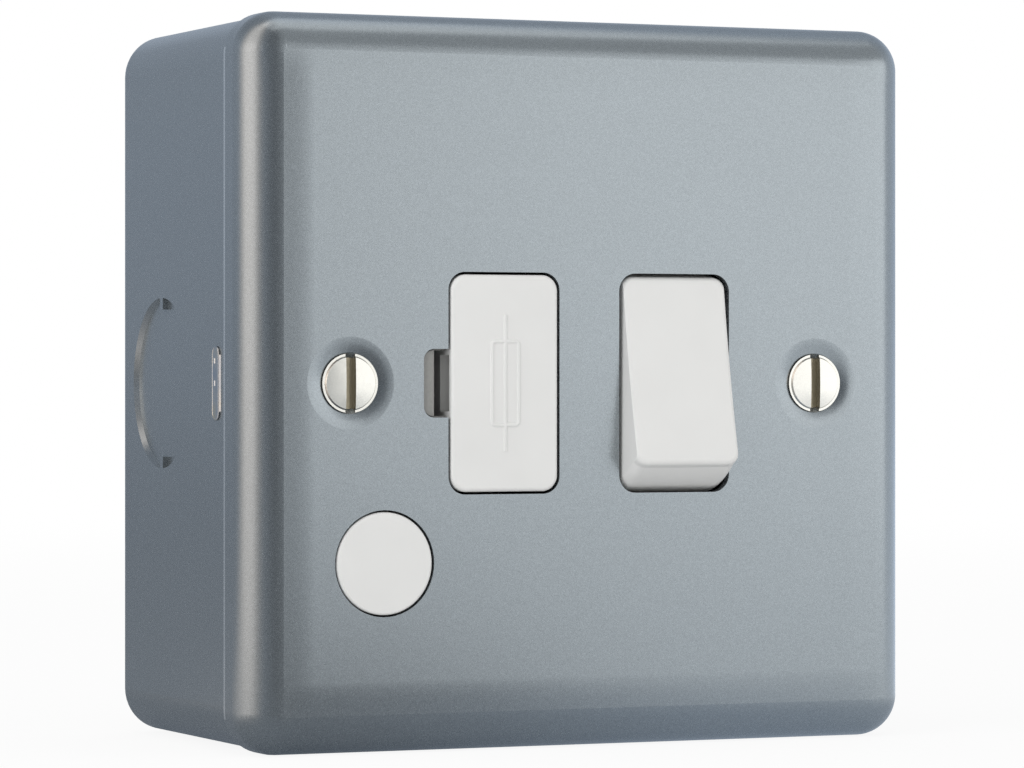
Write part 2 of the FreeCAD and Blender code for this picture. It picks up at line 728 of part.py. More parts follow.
def front_moulding():
    """The mechanism's front moulding: a deck behind the plate, wells for the fuse and rocker, the ledge
    in the notch, the ring of the flex outlet and the posts of the cord clamp."""
    right = f"({MODULE_WIDTH} / 2 + deck_lip)"
    top, bottom = "(module_height / 2 + deck_lip)", minus("deck_bottom")
    deck = [
        (minus(right), top), (minus(right), "ear_top"), (minus("ear_reach"), "ear_top"),
        (minus("ear_reach"), bottom), ("ear_reach", bottom), ("ear_reach", "ear_top"), (right, "ear_top"),
        (right, top),
    ]
    body = plate_body("moulding", [deck], (DECK_REAR, PLATE_REAR))
    below = ("split_level", DECK_REAR)
    well = f"({HALF_OPENING} + 0.2)"
    walls = plate_body("moulding_walls", [housing_outline("0"), housing_outline("moulding_wall")], below)
    fuse_well = plate_body(
        "fuse_well",
        [
            well_outline("fuse_place", FUSE_WELL, well, "well_wall"),
            well_outline("fuse_place", FUSE_WELL, well),
        ],
        below,
    )
    rocker_well = plate_body(
        "rocker_well",
        [
            well_outline("rocker_place", ROCKER_WELL, SWEEP_WELL, "moulding_wall"),
            well_outline("rocker_place", ROCKER_WELL, SWEEP_WELL),
        ],
        below,
    )
    stop_level = (
        f"({PIVOT_LEVEL} + rocker_rim * cos(rocker_tilt) - sweep_radius * sin(rocker_tilt) - running_gap)"
    )
    parts = [body, walls, fuse_well, rocker_well]
    for end, sign in (("upper", 1), ("lower", -1)):
        inner, outer = f"{sign} * (sweep_radius - 1.3)", f"{sign} * {SWEEP_WELL}"
        parts.append(
            block(
                f"{end}_rocker_stop",
                (f"rocker_place - {ROCKER_WELL}", f"rocker_place + {ROCKER_WELL}"),
                ("split_level", stop_level),
                sorted([inner, outer], key=value),
            )
        )
        parts.append(
            rod(
                f"{end}_screw_boss", "(module_screw_size / 2 + boss_wall)", below, BETWEEN_WELLS,
                f"{sign} * module_screw_up",
            )
        )
        parts.append(
            block(
                f"{end}_terminal_rib",
                (f"{COLUMN_LEFT} + moulding_wall / 2", f"({MODULE_WIDTH} - moulding_wall) / 2"), below,
                (f"{sign} * terminal_middle - well_wall / 2", f"{sign} * terminal_middle + well_wall / 2"),
            )
        )
    ring_radius = "(outlet_bore / 2 + outlet_ring_wall)"
    ring_levels = (f"{DECK_REAR} - outlet_ring_depth", DECK_REAR)
    parts.append(rod("outlet_ring", ring_radius, ring_levels, "outlet_across", "outlet_up"))
    for name, up in (("upper_clamp_post", "clamp_upper"), ("lower_clamp_post", "clamp_lower")):
        parts.append(
            rod(name, "clamp_post / 2", ("clamp_level + clamp_sheet", DECK_REAR), "clamp_across", up)
        )
    through = ("split_level - 1", f"{PLATE_REAR} + 1")
    deck_only = (f"{DECK_REAR} - 0.01", f"{PLATE_REAR} + 1")
    half_notch = "(notch_height / 2 - ledge_gap)"
    ledge_top = "unit_depth - ledge_drop"
    ledge = plate_body(
        "notch_ledge",
        [box_outline((f"{NOTCH_LEFT} + ledge_gap", LEDGE_RIGHT), (minus(half_notch), half_notch))],
        (DECK_REAR, ledge_top),
    )
    round_edges(
        ledge, "notch_ledge_corners", "notch_round - ledge_gap",
        lambda edge: along_y(edge) and edge.Vertexes[0].X < value(LEDGE_RIGHT) - 1e-4,
    )
    round_edges(
        ledge, "notch_ledge_lip", "ledge_round",
        lambda edge: at_level(edge, ledge_top) and edge.BoundBox.XMin > value(LEDGE_RIGHT) - 1e-4,
    )
    parts.append(ledge)
    cutters = [
        plate_body("fuse_way", [well_outline("fuse_place", FUSE_HALF_WIDTH, HALF_OPENING)], deck_only),
        plate_body("rocker_way", [well_outline("rocker_place", ROCKER_WELL, SWEEP_WELL)], deck_only),
        bar_across(
            "pivot_bore",
            "pivot_pin / 2 + pin_clearance",
            (
                f"rocker_place - {ROCKER_WELL} - moulding_wall + 0.4",
                f"rocker_place + {ROCKER_WELL} + moulding_wall - 0.4",
            ),
            PIVOT_LEVEL,
        ),
        block(
            "notch_way", (LEDGE_RIGHT, "fuse_place"), deck_only, (minus(half_notch), half_notch),
        ),
        rod("blank_seat", "outlet_bore / 2", (f"{PLATE_REAR} - outlet_seat", f"{PLATE_REAR} + 1"),
            "outlet_across", "outlet_up"),
        rod("flex_way", "outlet_way / 2", through, "outlet_across", "outlet_up"),
        rod("ring_way", "outlet_bore / 2", (f"{DECK_REAR} - outlet_ring_depth - 1", DECK_REAR),
            "outlet_across", "outlet_up"),
        rod("upper_stud_hole", "stud_size / 2 + 0.15", deck_only, "upper_stud_across", "upper_stud_up"),
        rod("lower_stud_hole", "stud_size / 2 + 0.15", deck_only, "lower_stud_across", "lower_stud_up"),
    ]
    for end, sign in (("upper", "1"), ("lower", "-1")):
        cutters.append(
            rod(
                f"{end}_screw_pilot", "module_screw_size / 2", ("split_level - 1", DECK_REAR),
                BETWEEN_WELLS, f"{sign} * module_screw_up",
            )
        )
    for name, up in (("upper_post_pilot", "clamp_upper"), ("lower_post_pilot", "clamp_lower")):
        cutters.append(
            rod(name, "module_screw_size / 2", ("clamp_level", f"{DECK_REAR} - 0.5"), "clamp_across", up)
        )
    return without("front_moulding", fused("moulding_blank", *parts), *cutters)


def rear_housing():
    """The mechanism's rear moulding: a floor with walls, wire ways at each terminal and screw bosses."""
    body = plate_body("housing_pan", [housing_outline("0")], ("housing_rear", "split_level"))
    pocket(body, "housing_pocket", [housing_outline("moulding_wall")], (FLOOR, "split_level"))
    bosses, holes = [], []
    for end, sign in (("upper", "1"), ("lower", "-1")):
        up = f"{sign} * module_screw_up"
        bosses.append(
            rod(
                f"{end}_housing_boss", "(module_screw_size / 2 + boss_wall)", ("housing_rear", "split_level"),
                BETWEEN_WELLS, up,
            )
        )
        holes.append(
            rod(
                f"{end}_housing_bore", "module_screw_size / 2 + 0.1", ("housing_rear - 1", "split_level + 1"),
                BETWEEN_WELLS, up,
            )
        )
        for core, column in (("live", LIVE_COLUMN), ("neutral", NEUTRAL_COLUMN), ("earth", EARTH_COLUMN)):
            holes.append(
                rod(
                    f"{end}_{core}_screw_way", "terminal_head / 2 + 0.2", ("housing_rear - 1", f"{FLOOR} + 0.01"),
                    column, f"{sign} * terminal_middle",
                )
            )
            limits = sorted(
                [f"{sign} * (module_height / 2 - moulding_wall - 0.5)", f"{sign} * (module_height / 2 + 1)"],
                key=value,
            )
            holes.append(
                block(
                    "wire_way", (f"{column} - wire_bore / 2 - 0.2", f"{column} + wire_bore / 2 + 0.2"),
                    ("split_level - 5", "split_level + 1"), limits,
                )
            )
        limits = sorted(
            [
                f"{sign} * (terminal_middle - terminal_length / 2 - 0.2)",
                f"{sign} * (terminal_middle + terminal_length / 2 + 0.2)",
            ],
            key=value,
        )
        holes.append(
            block(
                f"{end}_earth_window",
                (f"{MODULE_WIDTH} / 2 - moulding_wall - 0.5", f"{MODULE_WIDTH} / 2 + 1"),
                (FLOOR, "split_level + 1"), limits,
            )
        )
    return without("rear_housing", fused("housing_blank", body, *bosses), *holes)


def pan_screw(name, across, up, head_radius, shank_radius, head_levels, tip_level):
    """A slotted screw driven from behind."""
    head = rod(f"{name}_head", head_radius, head_levels, across, up)
    shank = rod(f"{name}_shank", shank_radius, (head_levels[0], tip_level), across, up)
    slot = block(
        f"{name}_slot",
        (f"{across} - 0.4", f"{across} + 0.4"),
        (f"{head_levels[0]} - 1", f"{head_levels[0]} + 0.6"),
        (f"{up} - 1.2 * {head_radius}", f"{up} + 1.2 * {head_radius}"),
    )
    return without(name, fused(f"{name}_blank", head, shank), slot)


def terminal(name, column, sign, floor):
    """A brass pillar terminal with its wire bore and its tapped screw hole."""
    middle = f"{sign} * terminal_middle"
    half_width, half_length = "terminal_width / 2", "terminal_length / 2"
    brass = plate_body(
        f"{name}_block",
        [
            box_outline(
                (f"{column} - {half_width}", f"{column} + {half_width}"),
                (f"{middle} - {half_length}", f"{middle} + {half_length}"),
            )
        ],
        (floor, "split_level"),
    )
    round_edges(brass, f"{name}_corners", "0.5", along_y)
    wire = bar_up(
        f"{name}_wire_bore", "wire_bore / 2", (f"{middle} - {half_length} - 1", f"{middle} + {half_length} + 1"),
        column, "split_level - wire_bore / 2 - wire_cover",
    )
    tapped = rod(
        f"{name}_tapped", "thread_bore / 2", ("housing_rear", "split_level - wire_bore / 2 - wire_cover"), column,
        middle,
    )
    return without(name, brass, wire, tapped)


def fulcrum(name, pole, foot):
    """The blade that a see-saw contact rocks on."""
    return fused(
        name,
        block(
            f"{name}_blade",
            (f"{pole} - lever_width / 2", f"{pole} + lever_width / 2"),
            (foot, "lever_level"),
            ("-blade_sheet / 2", "blade_sheet / 2"),
        ),
        bar_across(
            f"{name}_edge",
            "blade_sheet / 2",
            (f"{pole} - lever_width / 2", f"{pole} + lever_width / 2"),
            "lever_level",
        ),
    )


def fuse_clip(name, sign):
    """A spring clip that grips one cap of the fuse, on a riser from the floor."""
    base_level = f"({FUSE_LEVEL} - fuse_diameter / 2 - running_gap)"
    grip = "(fuse_diameter / 2 + clip_clearance)"
    middle = f"{sign} * clip_middle"
    tall = (f"{middle} - clip_height / 2", f"{middle} + clip_height / 2")
    jaw_top = f"({FUSE_LEVEL} + fuse_diameter / 2 - 0.2)"
    centre = "fuse_place"
    parts = [
        block(f"{name}_base", (f"{centre} - {grip} - clip_sheet", f"{centre} + {grip} + clip_sheet"),
              (f"{base_level} - clip_sheet", base_level), tall),
        block(f"{name}_left_jaw", (f"{centre} - {grip} - clip_sheet", f"{centre} - {grip}"),
              (base_level, jaw_top), tall),
        block(f"{name}_right_jaw", (f"{centre} + {grip}", f"{centre} + {grip} + clip_sheet"),
              (base_level, jaw_top), tall),
        block(f"{name}_riser", (f"{centre} - 2", f"{centre} + 2"), (FLOOR, base_level),
              sorted([f"{middle} + {sign} * (clip_height / 2 - clip_sheet)",
                      f"{middle} + {sign} * clip_height / 2"], key=value)),
    ]
    return parts


def strip(name, points):
    """A flat strip lying on the housing's floor."""
    return plate_body(name, [points], (FLOOR, STRIP_TOP))


def tapped_strip(name, blank, column, sign):
    """A strip with the hole of the terminal screw that clamps it."""
    hole = rod(
        f"{name}_screw_hole", "thread_bore / 2", ("housing_rear", "split_level"), column,
        f"{sign} * terminal_middle",
    )
    return without(name, blank, hole)


def fixed_contact(pole_name, column):
    """A fixed contact strip under its supply terminal, reaching behind the see-saw's upper end."""
    pole = POLES[pole_name]
    top = "terminal_middle + terminal_length / 2"
    points = [
        (f"{pole} - lever_width / 2", "tip_place - tip_radius - 1"),
        (f"{pole} + lever_width / 2", "tip_place - tip_radius - 1"),
        (f"{pole} + lever_width / 2", "terminal_middle - terminal_length / 2 - strip_taper"),
        (f"{column} + terminal_width / 2", "terminal_middle - terminal_length / 2"),
        (f"{column} + terminal_width / 2", top),
        (f"{column} - terminal_width / 2", top),
        (f"{column} - terminal_width / 2", "terminal_middle - terminal_length / 2"),
        (f"{pole} - lever_width / 2", "terminal_middle - terminal_length / 2 - strip_taper"),
    ]
    blank = strip(f"{pole_name}_contact_strip", points)
    return tapped_strip(f"{pole_name}_fixed_contact", blank, column, "1")


def live_link():
    """The live fulcrum and the upper fuse clip on one bent strip."""
    pole = POLES["live"]
    foot, left = "3.2", "fuse_place - 2"
    clip_up = "clip_middle + clip_height / 2"
    blank = strip(
        "live_link_strip",
        [
            (left, "-2"), (f"{pole} + lever_width / 2", "-2"), (f"{pole} + lever_width / 2", "2"),
            (f"fuse_place + {foot}", "2"), (f"fuse_place + {foot}", clip_up), (left, clip_up),
        ],
    )
    return fused("live_link", blank, fulcrum("live_fulcrum", pole, FLOOR), *fuse_clip("upper_clip", "1"))


def load_live_link():
    """The lower fuse clip on a strip that runs under the load live terminal."""
    left, low = "fuse_place - 2", "-(clip_middle + clip_height / 2)"
    high = "-(clip_middle - clip_height / 2 - 0.4)"
    past_boss = f"{BETWEEN_WELLS} + module_screw_size / 2 + boss_wall + 0.4"
    blank = strip(
        "load_live_strip",
        [
            (left, low), ("fuse_place + 2", low), ("fuse_place + 3.5", f"{high} - 2.8"),
            (past_boss, f"{high} - 2.8"), (past_boss, "-terminal_middle + terminal_length / 2 + strip_taper"),
            (f"{LIVE_COLUMN} - terminal_width / 2", "-terminal_middle + terminal_length / 2"),
            (f"{LIVE_COLUMN} - terminal_width / 2", "-terminal_middle - terminal_length / 2"),
            (f"{LIVE_COLUMN} + terminal_width / 2", "-terminal_middle - terminal_length / 2"),
            (f"{LIVE_COLUMN} + terminal_width / 2", high), (left, high),
        ],
    )
    whole = fused("load_live_blank", blank, *fuse_clip("lower_clip", "-1"))
    return tapped_strip("load_live_link", whole, LIVE_COLUMN, "-1")


def neutral_link():
    """The neutral fulcrum on a strip that runs under the load neutral terminal."""
    pole = POLES["neutral"]
    low = "-terminal_middle - terminal_length / 2"
    step = "-terminal_middle + terminal_length / 2"
    blank = strip(
        "neutral_link_strip",
        [
            (f"{pole} - lever_width / 2", "2"), (f"{pole} - lever_width / 2", f"{step} + strip_taper"),
            (f"{NEUTRAL_COLUMN} - terminal_width / 2", step), (f"{NEUTRAL_COLUMN} - terminal_width / 2", low),
            (f"{NEUTRAL_COLUMN} + terminal_width / 2", low), (f"{NEUTRAL_COLUMN} + terminal_width / 2", step),
            (f"{pole} + lever_width / 2", f"{step} + strip_taper"), (f"{pole} + lever_width / 2", "2"),
        ],
    )
    whole = fused("neutral_link_blank", blank, fulcrum("neutral_fulcrum", pole, FLOOR))
    return tapped_strip("neutral_link", whole, NEUTRAL_COLUMN, "-1")


def moving_contact(pole_name):
    """A see-saw contact: two arms and a curled middle that rides on the fulcrum."""
    reach, half = "lever_half_length", "(strip_sheet / 2)"
    curl = "(bearing_radius + strip_sheet)"
    shoulder = f"sqrt({curl} ^ 2 - {half} ^ 2)"
    inner = f"sqrt(bearing_radius ^ 2 - {half} ^ 2)"
    body = side_profile(
        f"{pole_name}_moving_contact",
        [
            (half, minus(reach)), (half, minus(inner), "bearing_radius", 1),
            ("-bearing_radius", "0", "bearing_radius", 1), (half, inner), (half, reach),
            (minus(half), reach), (minus(half), shoulder, curl, -1), (minus(half), minus(shoulder)),
            (minus(half), minus(reach)),
        ],
        "lever_width",
    )
    return set_lever(body, POLES[pole_name], "rocker_tilt")


def set_lever(item, across, tilt):
    """Stand a piece of the see-saw on its fulcrum, tilted."""
    item.Placement = FreeCAD.Placement(Vector(), Rotation(Vector(1, 0, 0), value(tilt)))
    item.setExpression("Placement.Rotation.Angle", bound(tilt))
    return place(item, across, "lever_level")


def contact_tip(name, front, rear):
    """A silver contact in the see-saw's own frame, between two distances behind its fulcrum."""
    tip = named("Part::Cylinder", name)
    bind(tip, Radius="tip_radius", Height=f"({rear}) - ({front})")
    tip.Placement.Rotation = Rotation(Vector(1, 0, 0), -90)
    bind(tip, Placement__Base__y=front, Placement__Base__z="tip_place")
    return group(f"{name}_set", [tip])


def contact_tips():
    """The silver contacts: two on the see-saws, and two on the strips, square to them when closed."""
    moving, fixed = [], []
    rear = "strip_sheet / 2 + tip_sheet"
    for pole_name, pole in POLES.items():
        tip = contact_tip(f"{pole_name}_moving_tip", "strip_sheet / 2", rear)
        moving.append(set_lever(tip, pole, "rocker_tilt"))
        post = contact_tip(f"{pole_name}_fixed_tip", f"{rear} + contact_gap", f"{rear} + 3")
        set_lever(post, pole, "-rocker_tilt")
        below = block(
            f"{pole_name}_tip_seat", (f"{pole} - 3", f"{pole} + 3"), ("housing_rear", STRIP_TOP),
            ("tip_place - 4", "tip_place + 4"),
        )
        fixed.append(without(f"{pole_name}_fixed_tip_cut", post, below))
    return [group("moving_contact_tips", moving), group("fixed_contact_tips", fixed)]


def end_corner(edge):
    """Whether an edge of the rocker's blank is a side edge of one of its curved ends."""
    box = edge.BoundBox
    past_face = min(abs(box.ZMin), abs(box.ZMax)) > value("crease_half_height") - 1e-4
    at_one_end = box.ZMin * box.ZMax > 0
    return past_face and at_one_end and box.XLength < 1e-4 and box.YMax < -value("rocker_rim") + 1e-4


def crease(edge):
    """Whether an edge of the rocker's blank lies between its face and a curved end."""
    box = edge.BoundBox
    return abs(box.YMin + value("crease_reach")) < 1e-4 and box.ZLength < 1e-4


def rocker():
    """The rocker, modelled about its pivot and turned to its off position."""
    half_rim = "sqrt(sweep_radius ^ 2 - rocker_rim ^ 2)"
    shoulder = "sqrt(sweep_radius ^ 2 - shoulder_reach ^ 2)"
    face, rim = "-crease_reach", "-rocker_rim"
    width = f"2 * {ROCKER_HALF_WIDTH}"
    shell = side_profile(
        "rocker_blank",
        [
            (face, "crease_half_height", "rocker_dish", 1),
            (face, minus("crease_half_height")),
            ("-shoulder_reach", minus(shoulder), "sweep_radius", -1),
            (rim, minus(half_rim)),
            (rim, "-cheek_half_height"),
            ("cheek_depth", "-cheek_half_height + 1"),
            ("cheek_depth", "cheek_half_height - 1"),
            (rim, "cheek_half_height"),
            (rim, half_rim, "sweep_radius", -1),
            ("-shoulder_reach", shoulder),
        ],
        width,
    )
    round_edges(shell, "rocker_blank_corners", "rocker_corner", end_corner)
    round_edges(shell, "rocker_blank_creases", "rocker_crease", crease)
    wall = "rocker_wall"
    inner = f"(crease_half_height - {wall} / 2)"
    inner_rim = f"sqrt((sweep_radius - {wall}) ^ 2 - 1)"
    cavity = side_profile(
        "rocker_cavity",
        [
            (f"{face} + {wall} + 0.3", minus(inner)),
            ("-1", minus(inner_rim)),
            ("cheek_depth + 1", minus(inner_rim)),
            ("cheek_depth + 1", inner_rim),
            ("-1", inner_rim),
            (f"{face} + {wall} + 0.3", inner),
        ],
        f"{width} - 2 * {wall}",
    )
    taper = named("Part::Wedge", "rocker_taper")
    half = ROCKER_HALF_WIDTH
    bind(
        taper,
        Xmin=minus(half), Xmax=half, X2min=f"-{half} + rocker_draft", X2max=f"{half} - rocker_draft",
        Ymin="0", Ymax="crease_reach + 2", Zmin="-sweep_radius - 1", Zmax="sweep_radius + 1",
        Z2min="-sweep_radius - 1", Z2max="sweep_radius + 1",
    )
    taper.Placement.Rotation = Rotation(Vector(0, 0, 1), 180)
    base = named("Part::Box", "rocker_base")
    bind(base, Length=width, Width="cheek_depth + 1", Height="2 * sweep_radius + 2")
    bind(base, Placement__Base__x=minus(half), Placement__Base__z="-sweep_radius - 1")
    envelope = fused("rocker_envelope", taper, base)
    outside = named("Part::Common", "rocker_outside")
    outside.Base = without("rocker_hollow", shell, cavity)
    outside.Tool = envelope
    parts, bores = [outside], []
    for side, sign in (("left", "-1"), ("right", "1")):
        across = f"{sign} * pole_offset"
        levels = ("-barrel_reach", "crease_reach - 1.2")
        parts.append(rod(f"{side}_barrel", "(plunger_bore / 2 + barrel_wall)", levels, across))
        bores.append(
            rod(
                f"{side}_barrel_bore", "plunger_bore / 2", ("-barrel_reach - 1", "crease_reach - spring_seat"),
                across,
            )
        )
        stub = sorted([f"{sign} * ({half} - 0.5)", f"{sign} * ({half} + pivot_reach)"], key=value)
        parts.append(bar_across(f"{side}_pivot_stub", "pivot_pin / 2", stub))
    whole = without("rocker", fused("rocker_whole", *parts), *bores)
    return set_rocker(whole)


def set_rocker(item):
    """Stand a piece of the rocker on its pivot, turned to the off position."""
    item.Placement = FreeCAD.Placement(Vector(), Rotation(Vector(1, 0, 0), -value("rocker_tilt")))
    item.setExpression("Placement.Rotation.Angle", bound("-rocker_tilt"))
    return place(item, "rocker_place", PIVOT_LEVEL)


def plungers():
    """The two sprung plungers in the rocker's barrels."""
    radius = "(plunger_size / 2)"
    nose = f"({PLUNGER_REACH} - {radius})"
    pieces = []
    for side, sign in (("left", "-1"), ("right", "1")):
        plunger = turned(
            f"{side}_plunger_turned",
            [
                ("0", "plunger_back - 1.2"), ("plunger_size / 2 - 0.75", "plunger_back - 1.2"),
                ("plunger_size / 2 - 0.75", "plunger_back"), (radius, "plunger_back"),
                (radius, nose, radius, -1), ("0", PLUNGER_REACH),
            ],
        )
        pieces.append(place(plunger, f"{sign} * pole_offset"))
    return set_rocker(group("rocker_plungers", pieces))


def springs():
    """The coil springs behind the plungers, wound from the sheet's sizes."""
    wire = value("spring_wire / 2")
    start, end = value("spring_seat - crease_reach") + wire, value("plunger_back") - wire
    mean = value("plunger_bore / 2") - wire - 0.1
    pitch = (end - start) / value("spring_turns")
    pieces = []
    for sign in (-1, 1):
        helix = Part.makeHelix(pitch, end - start, mean)
        section = Part.Wire(Part.Circle(Vector(mean, 0, 0), Vector(0, 1, 0), wire).toShape())
        coil = Part.Wire(helix).makePipeShell([section], True, True)
        coil.rotate(Vector(), Vector(1, 0, 0), -90)
        coil.translate(Vector(sign * value("pole_offset"), start, 0))
        pieces.append(coil)
    item = named("Part::Feature", "plunger_springs")
    item.Shape = Part.makeCompound(pieces)
    return set_rocker(item)


def fuse_carrier():
    """The sliding fuse carrier: its face with a pocket for a screwdriver's tip, the cradle round the fuse
    and two hooked tails."""
    half_width = f"({FUSE_HALF_WIDTH} - face_gap)"
    half_height = f"({HALF_OPENING} - face_gap)"
    face_levels = (FUSE_FACE_REAR, "unit_depth + fuse_face_proud")
    face = plate_body("carrier_face", [well_outline("fuse_place", half_width, half_height)], face_levels)
    round_edges(face, "carrier_face_corners", "fuse_face_corner", along_y)
    round_edges(face, "carrier_face_edges", "fuse_face_round", lambda edge: at_level(edge, face_levels[1]))
    grip = "(fuse_diameter / 2 + clip_clearance)"
    lip_level = f"({FUSE_LEVEL} - fuse_diameter / 2)"
    tail_end = f"({DECK_REAR} - carrier_travel - tail_hook - 0.1)"
    hook = "(fuse_opening_width / 2 + tail_hook - running_gap)"
    outer = f"({FUSE_HALF_WIDTH} - face_gap - 0.2)"
    parts = [face]
    for side, sign in (("left", "-1"), ("right", "1")):
        def across(low, high):
            return sorted([f"fuse_place + {sign} * {low}", f"fuse_place + {sign} * {high}"], key=value)

        cradle = ("-cradle_half_height", "cradle_half_height")
        tail = ("-tail_half_height", "tail_half_height")
        parts += [
            block(f"{side}_cheek", across(grip, f"({grip} + cradle_wall)"),
                  (f"{lip_level} - 0.7", FUSE_FACE_REAR), cradle),
            block(f"{side}_lip", across(f"({grip} - 0.8)", grip),
                  (f"{lip_level} - 0.7", f"{lip_level} - 0.05"), cradle),
            block(f"{side}_tail", across(f"({outer} - tail_wall)", outer), (tail_end, FUSE_FACE_REAR), tail),
            block(f"{side}_hook", across(outer, hook), (tail_end, f"{tail_end} + tail_hook"),
                  ("-tail_half_height / 2", "tail_half_height / 2")),
        ]
    left = f"(fuse_place - {half_width})"
    pocket_cut = block(
        "lever_pocket", (f"{left} - 1", f"{left} + lever_pocket_depth"),
        (f"{FUSE_FACE_REAR} - 1", "unit_depth + fuse_face_proud - lever_pocket_lip"),
        ("-lever_pocket_height / 2", "lever_pocket_height / 2"),
    )
    return without("fuse_carrier", fused("fuse_carrier_blank", *parts), pocket_cut)


def cartridge_fuse():
    """The cartridge fuse, upright in the carrier: a ceramic tube and two pressed caps."""
    half = "(fuse_length / 2)"
    radius = "(fuse_diameter / 2)"
    neck = f"({radius} - fuse_cap_sheet - 0.02)"
    tube_end = f"({half} - fuse_cap_sheet - 0.02)"
    tube = without(
        "fuse_tube",
        bar_up("fuse_tube_blank", neck, (minus(tube_end), tube_end), "fuse_place", FUSE_LEVEL),
        bar_up("fuse_tube_bore", "fuse_bore / 2", (f"-{half}", half), "fuse_place", FUSE_LEVEL),
    )
    pieces = [tube]
    for end, sign in (("upper", "1"), ("lower", "-1")):
        limits = sorted([f"{sign} * ({half} - fuse_cap_length)", f"{sign} * {half}"], key=value)
        inside = sorted(
            [f"{sign} * ({half} - fuse_cap_length - 1)", f"{sign} * ({half} - fuse_cap_sheet)"], key=value
        )
        pieces.append(
            without(
                f"{end}_fuse_cap",
                bar_up(f"{end}_cap_blank", radius, limits, "fuse_place", FUSE_LEVEL),
                bar_up(f"{end}_cap_inside", f"{radius} - fuse_cap_sheet", inside, "fuse_place", FUSE_LEVEL),
            )
        )
    return pieces


def outlet_blank():
    """The snap-in blank of the flex outlet: a disc on its seat and a barbed spigot through the deck."""
    radius, spigot = "(outlet_bore / 2 - 0.22)", "(outlet_way / 2 - 0.15)"
    seat = f"({PLATE_REAR} - outlet_seat)"
    depth = f"(unit_depth - {seat})"
    stem = "(deck_sheet - outlet_seat + 1.9)"
    body = turned(
        "outlet_blank",
        [
            ("0", "0"), (f"{radius} - 0.3", "0", "0.3", -1), (radius, "0.3"), (radius, depth), (spigot, depth),
            (spigot, f"{depth} + deck_sheet - outlet_seat + 0.15"),
            (f"{spigot} + 0.5", f"{depth} + deck_sheet - outlet_seat + 0.15"),
            (f"{spigot} - 0.4", f"{depth} + {stem}"), (f"{spigot} - 1.4", f"{depth} + {stem}"),
            (f"{spigot} - 1.4", "1.8"), ("0", "1.8"),
        ],
    )
    return place(body, "outlet_across", "unit_depth", "outlet_up")


def studs_and_nuts():
    """The studs welded behind the plate and the nuts that hold the mechanism and the earth strap."""
    studs, nuts = [], []
    across_corners = "nut_across_flats / cos(30) / 2"
    for end, seat in (("upper", DECK_REAR), ("lower", f"({DECK_REAR} - strap_sheet)")):
        at = (f"{end}_stud_across", f"{end}_stud_up")
        levels = (f"{seat} - nut_height - 1", PLATE_REAR)
        studs.append(rod(f"{end}_stud", "stud_size / 2", levels, *at))
        hexagon = named("Part::Prism", f"{end}_nut_blank")
        bind(hexagon, Circumradius=across_corners, Height="nut_height")
        hexagon.Placement.Rotation = Rotation(Vector(1, 0, 0), 90)
        place(hexagon, at[0], f"{seat} - nut_height", at[1])
        hole = rod(f"{end}_nut_hole", "stud_size / 2 + 0.03", levels, *at)
        nuts.append(without(f"{end}_nut", hexagon, hole))
    return [group("plate_studs", studs), group("stud_nuts", nuts)]


def earth_strap():
    """The strap that bonds both earth terminals to the plate's lower stud."""
    wall = f"{MODULE_WIDTH} / 2"
    half = "strap_half_length"
    foot = (f"{DECK_REAR} - strap_sheet", DECK_REAR)
    top = "(split_level - strap_drop)"
    tall = ("lower_stud_up - strap_tab", "lower_stud_up + strap_tab")
    thick = (wall, f"{wall} + strap_sheet")
    upright = block("strap_upright", thick, (f"{top} - strap_width", top), (minus(half), half))
    riser = block("strap_riser", thick, (f"{top} - strap_sheet", DECK_REAR), tall)
    tongue = block("strap_tongue", (wall, "lower_stud_across + strap_tab"), foot, tall)
    hole = rod(
        "strap_hole", "stud_size / 2 + 0.15", (f"{DECK_REAR} - 2", f"{DECK_REAR} + 1"), "lower_stud_across",
        "lower_stud_up",
    )
    return without("earth_strap", fused("strap_blank", upright, riser, tongue), hole)


def cord_clamp():
    """The bar that grips the flex, across its way behind the outlet, and its two screws."""
    half = "(clamp_width / 2)"
    blank = plate_body(
        "clamp_bar",
        [
            box_outline(
                (f"clamp_across - {half}", f"clamp_across + {half}"),
                ("clamp_lower - clamp_post / 2", "clamp_upper + clamp_post / 2 - 0.6"),
            )
        ],
        ("clamp_level", "clamp_level + clamp_sheet"),
    )
    round_edges(blank, "clamp_bar_corners", "1.2", along_y)
    holes, screws = [], []
    for name, up in (("upper_clamp", "clamp_upper"), ("lower_clamp", "clamp_lower")):
        holes.append(
            rod(f"{name}_hole", "module_screw_size / 2 + 0.15", ("clamp_level - 1", "clamp_level + 4"),
                "clamp_across", up)
        )
        screws.append(
            pan_screw(f"{name}_screw", "clamp_across", up, "clamp_screw_head / 2",
                      "(module_screw_size / 2 - 0.05)", ("clamp_level - pan_head", "clamp_level"),
                      "clamp_level + clamp_screw_length")
        )
    return [without("cord_clamp", blank, *holes), group("cord_clamp_screws", screws)]


